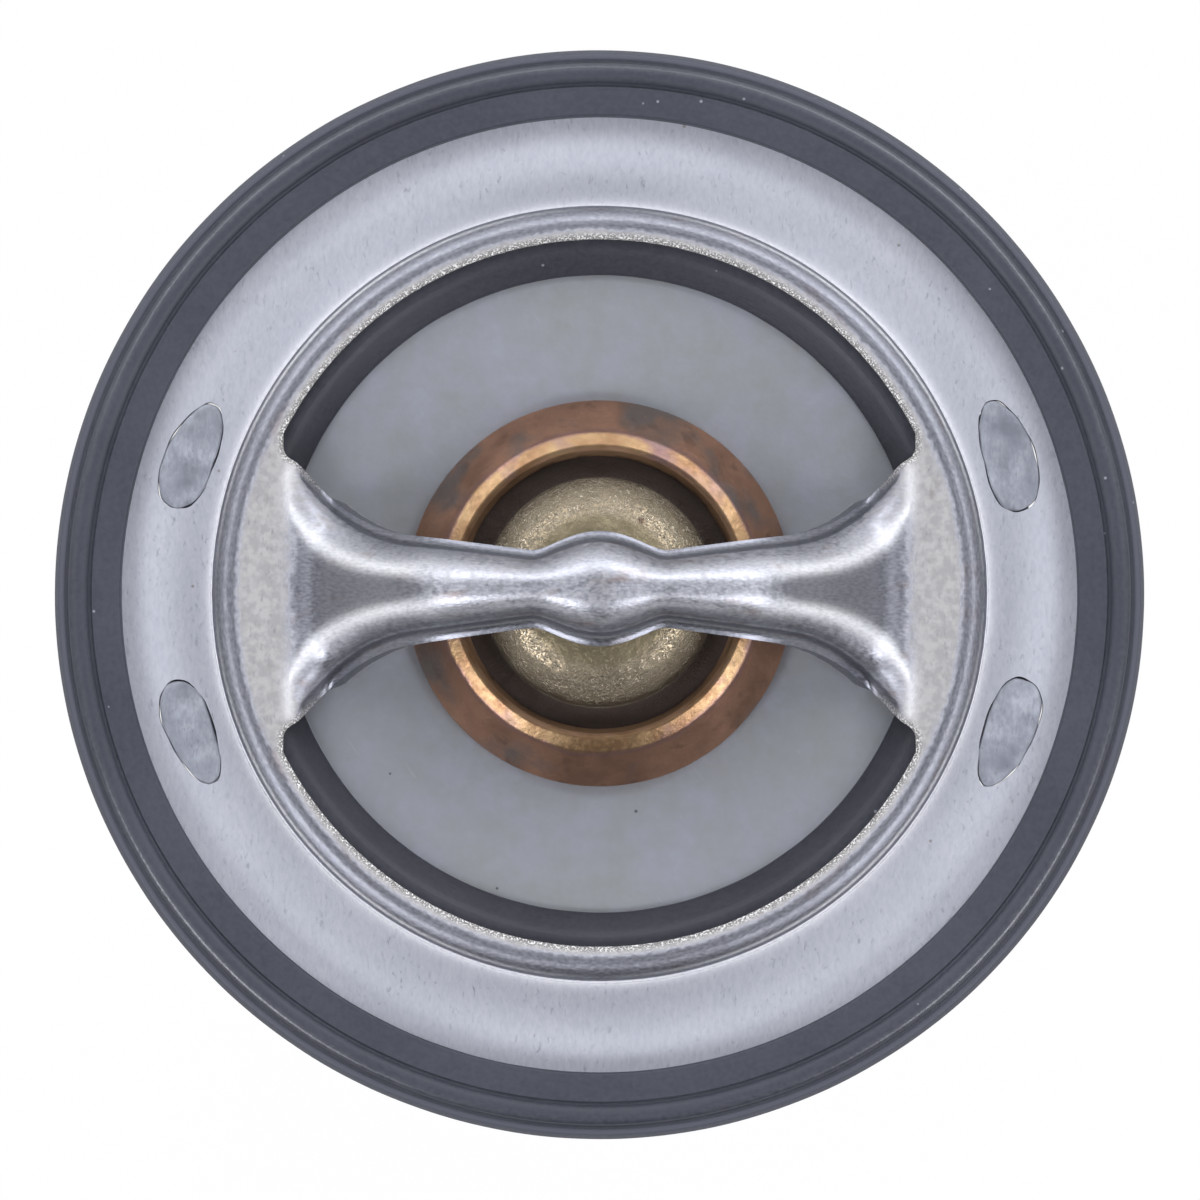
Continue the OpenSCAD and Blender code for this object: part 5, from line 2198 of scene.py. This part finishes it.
@dataclass
class Studio:
    """Pale floor, four corner soft boxes, a faint back fill and the long-lens camera above.

    The floor lies just under the stud's end with the valve fully open.
    """

    floor_z: float = -50.7
    floor_r: float = 6000.0
    lens: float = 288.0
    distance: float = 600.0
    tilt: float = 1.75
    aim: tuple[float, float, float] = (0.03, -0.35, 0.0)
    room: float = 0.52
    lean: float = 1.3
    rise: float = 38.0
    reach: float = 0.62
    box: Point = (0.29, 0.22)
    fill: Point = (0.66, 0.20)
    boxes: tuple[tuple[float, float], ...] = ((43, 1.16), (138, 0.88), (223, 2.10), (321, 1.90))
    fill_power: float = 1.15

    def camera(self) -> None:
        """Places the camera above the part, tipped slightly from the front."""
        data = bpy.data.cameras.new("camera")
        data.lens = self.lens
        data.sensor_width = 36
        data.clip_start, data.clip_end = 0.01, 20
        camera = bpy.data.objects.new("camera", data)
        bpy.context.scene.collection.objects.link(camera)
        tilt = math.radians(self.tilt)
        back = Vector((0, -math.sin(tilt), math.cos(tilt)))
        camera.location = (Vector(self.aim) + back * self.distance) * MM
        camera.rotation_mode = "QUATERNION"
        camera.rotation_quaternion = (-back).to_track_quat("-Z", "Y")
        bpy.context.scene.camera = camera

    def spot(self, azimuth: float) -> tuple[float, float, float]:
        """Returns the place of a lamp, in metres, from its azimuth in degrees."""
        rise, turn = math.radians(self.rise), math.radians(azimuth)
        flat = self.reach * math.cos(rise)
        return (flat * math.cos(turn), flat * math.sin(turn), self.reach * math.sin(rise))

    def softbox(
        self, name: str, place: tuple[float, float, float], size: Point, power: float, hue: str
    ) -> None:
        """Adds one soft box aimed at the part.

        Args:
            name: Its name.
            place: Its middle, in metres.
            size: Its length and height, in metres.
            power: Its power in watts.
            hue: Its colour in hex.
        """
        data = bpy.data.lights.new(name, "AREA")
        data.shape = "RECTANGLE"
        data.size, data.size_y = size
        data.energy = power
        data.color = linear(hue)[:3]
        lamp = bpy.data.objects.new(name, data)
        bpy.context.scene.collection.objects.link(lamp)
        lamp.location = place
        lamp.rotation_mode = "QUATERNION"
        lamp.rotation_quaternion = (-Vector(place)).to_track_quat("-Z", "Y")

    def floor(self) -> None:
        """Lays the pale floor, white to the camera with the part's shadow kept."""
        turns = np.linspace(0, math.tau, 97)[:-1]
        points = np.array(
            [(self.floor_r * math.cos(a), self.floor_r * math.sin(a), self.floor_z) for a in turns]
        )
        floor = mesh_object("floor", points, [list(range(len(turns)))])
        material = bpy.data.materials.new("pale_paper_floor")
        material.use_nodes = True
        tree = material.node_tree
        tree.nodes.clear()
        path = add_node(tree, "ShaderNodeLightPath").outputs
        seen = add_node(
            tree, "ShaderNodeMath", {"operation": "ADD", "use_clamp": True},
            {0: path["Is Camera Ray"], 1: path["Is Glossy Ray"]},
        )
        seen = add_node(
            tree, "ShaderNodeMath", {"operation": "ADD", "use_clamp": True},
            {0: seen.outputs[0], 1: path["Is Transmission Ray"]},
        )
        paper = add_node(tree, "ShaderNodeBsdfDiffuse", {"Color": linear("F0F0F0")})
        glow = add_node(
            tree, "ShaderNodeEmission", {"Color": linear("FFFFFF")}, {"Strength": seen.outputs[0]}
        )
        both = add_node(
            tree, "ShaderNodeMixShader", {0: 0.95}, {1: paper.outputs[0], 2: glow.outputs[0]}
        )
        add_node(tree, "ShaderNodeOutputMaterial", links={"Surface": both.outputs[0]})
        floor.data.materials.append(material)

    def world(self) -> None:
        """Fills the room with a dim light, brighter near the horizon and towards the back."""
        world = bpy.data.worlds.new("room")
        world.use_nodes = True
        tree = world.node_tree
        tree.nodes.clear()
        view = add_node(tree, "ShaderNodeTexCoord").outputs["Generated"]
        _, back, up = add_node(tree, "ShaderNodeSeparateXYZ", links={0: view}).outputs
        fade = add_node(
            tree, "ShaderNodeMapRange",
            {"From Min": 0.0, "From Max": 1.0, "To Min": self.room * 1.15, "To Max": self.room * 0.8},
            {"Value": up},
        )
        lean = add_node(
            tree, "ShaderNodeMapRange",
            {"From Min": -0.75, "From Max": 1.0, "To Min": 0.0, "To Max": 1 + self.lean},
            {"Value": back},
        )
        power = add_node(
            tree, "ShaderNodeMath", {"operation": "MULTIPLY"}, {0: fade.outputs[0], 1: lean.outputs[0]}
        )
        light = add_node(
            tree, "ShaderNodeBackground", {"Color": linear("E9EBF2")}, {"Strength": power.outputs[0]}
        )
        add_node(tree, "ShaderNodeOutputWorld", links={"Surface": light.outputs[0]})
        bpy.context.scene.world = world

    def build(self) -> None:
        """Sets up the whole studio."""
        self.camera()
        self.floor()
        self.world()
        for azimuth, power in self.boxes:
            self.softbox(f"softbox_{azimuth}", self.spot(azimuth), self.box, power, "F3F4FB")
        self.softbox("back_fill", self.spot(90), self.fill, self.fill_power, "F3F4FB")
        bpy.context.scene.view_settings.view_transform = "Standard"


def main() -> None:
    """Builds and dresses every piece."""
    logging.basicConfig(level=logging.INFO, format="%(message)s")
    Studio().build()
    turned = TurnedForm()
    wound = WoundWire()
    steel = PressedSteel().build()
    gasket_rubber = MouldedRubber().build()
    seal_rubber = MouldedRubber(
        "bonded_seal_rubber", "292A32", "31323A", "82838A", 0.5, 0.3, 0.09
    ).build()
    boot_rubber = MouldedRubber("boot_rubber", "1E1E21", "252529", "5A5B5E", 0.5, 0.3, 0.0).build()
    coined = PressedSteel(
        "coined_zinc_flashed_steel", "B3B6BE", "7A7D86", "575962", blotch=1.0, blotch_mm=1.9
    ).build()
    plate_steel = HandledPlate().build()
    spring_steel = PlainMetal(
        "oil_tempered_spring_wire", "6D6E73", "545559", roughness=0.36, grain=0.12
    ).build()
    ground = PlainMetal("ground_stainless", "9B9C9D", "8A8B8D", roughness=0.24, along=(1, 1, 8)).build()
    stud_brass = PlainMetal("turned_brass", "957C4D", "7E653A", roughness=0.32, along=(1, 1, 0.3)).build()
    black_steel = PlainMetal("blackened_clip_steel", "38383B", "29292B", roughness=0.42).build()
    wax = PlainMetal("wax_and_copper_powder", "876947", "765A3C", roughness=0.7, metallic=0.0).build()

    yoke = StakedYoke()
    pressing = FlangeBridge().make(steel)
    yoke.cut_slots(pressing)
    dress(pressing, steel, Body.FRAME, "pressed_steel", "flange_bridge")
    dress(yoke.make(), coined, Body.FRAME, "pressed_steel", "lower_yoke")

    gasket = turned.make("moulded_rim_gasket", RimGasket().outline(), 320, 0.05, 5.0, 3.0)
    dress(gasket, gasket_rubber, Body.FRAME, "gasket_rubber", "rim_gasket")

    head = ValveHead()
    plate = turned.make("pressed_valve_plate", head.plate(), 192)
    dress(plate, plate_steel, Body.VALVE, "plate_steel", "valve_plate")
    seal = turned.make("bonded_valve_seal", head.seal(), 256, 0.06, 2.5, 5.0)
    dress(seal, seal_rubber, Body.VALVE, "seal_rubber", "valve_seal")

    element = WaxElement()
    cup = turned.make("rolled_element_cup", element.cup(), 224, 0.05, 3.5, 7.0)
    dress(cup, TintedCopper().build(), Body.VALVE, "cup_copper", "element_cup")
    guide = turned.make("domed_brass_guide", element.guide(), 192, 0.03, 2.5, 9.0)
    dress(guide, TumbledBrass().build(), Body.VALVE, "guide_brass", "guide")
    charge = turned.make("wax_filling", element.wax(), 96)
    dress(charge, wax, Body.VALVE, "wax", "wax_charge")
    boot = turned.make("squeeze_boot", element.boot(), 96)
    dress(boot, boot_rubber, Body.VALVE, "boot_rubber", "rubber_boot")
    piston = turned.make("ground_piston", element.piston(), 96)
    dress(piston, ground, Body.FRAME, "piston_steel", "piston")

    main_spring = wound.make("main_coil_spring", 1.0, 13.2, 5.5, -21.0, 0.6)
    squeeze(main_spring, Body.FRAME, Body.VALVE)
    finish_spring(main_spring, spring_steel, "main_spring")
    light_spring = wound.make("light_coil_spring", 0.5, 4.6, 5.0, -36.8, -25.0)
    squeeze(light_spring, Body.BYPASS, Body.VALVE)
    finish_spring(light_spring, spring_steel, "bypass_spring")

    bypass = BypassValve()
    stem = turned.make("turned_bypass_stud", bypass.stem(), 128)
    dress(stem, stud_brass, Body.VALVE, "stem_brass", "bypass_stem")
    dish = turned.make("dished_bypass_plate", bypass.plate(), 192)
    dress(dish, plate_steel, Body.BYPASS, "plate_steel", "bypass_plate")
    washer = turned.make("plain_washer", bypass.washer(), 96)
    dress(washer, plate_steel, Body.VALVE, "plate_steel", "bypass_washer")
    dress(bypass.clip(), black_steel, Body.VALVE, "clip_steel", "circlip")


def finish_spring(spring: bpy.types.Object, material: bpy.types.Material, node: str) -> None:
    """Dresses a spring that already bends between its bodies.

    Args:
        spring: The spring.
        material: Its finish.
        node: The CAD node that it replaces.
    """
    spring.data.materials.clear()
    spring.data.materials.append(material)
    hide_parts(node)
    log.info("%s: %d faces", spring.name, len(spring.data.polygons))


if __name__ == "__main__":
    main()
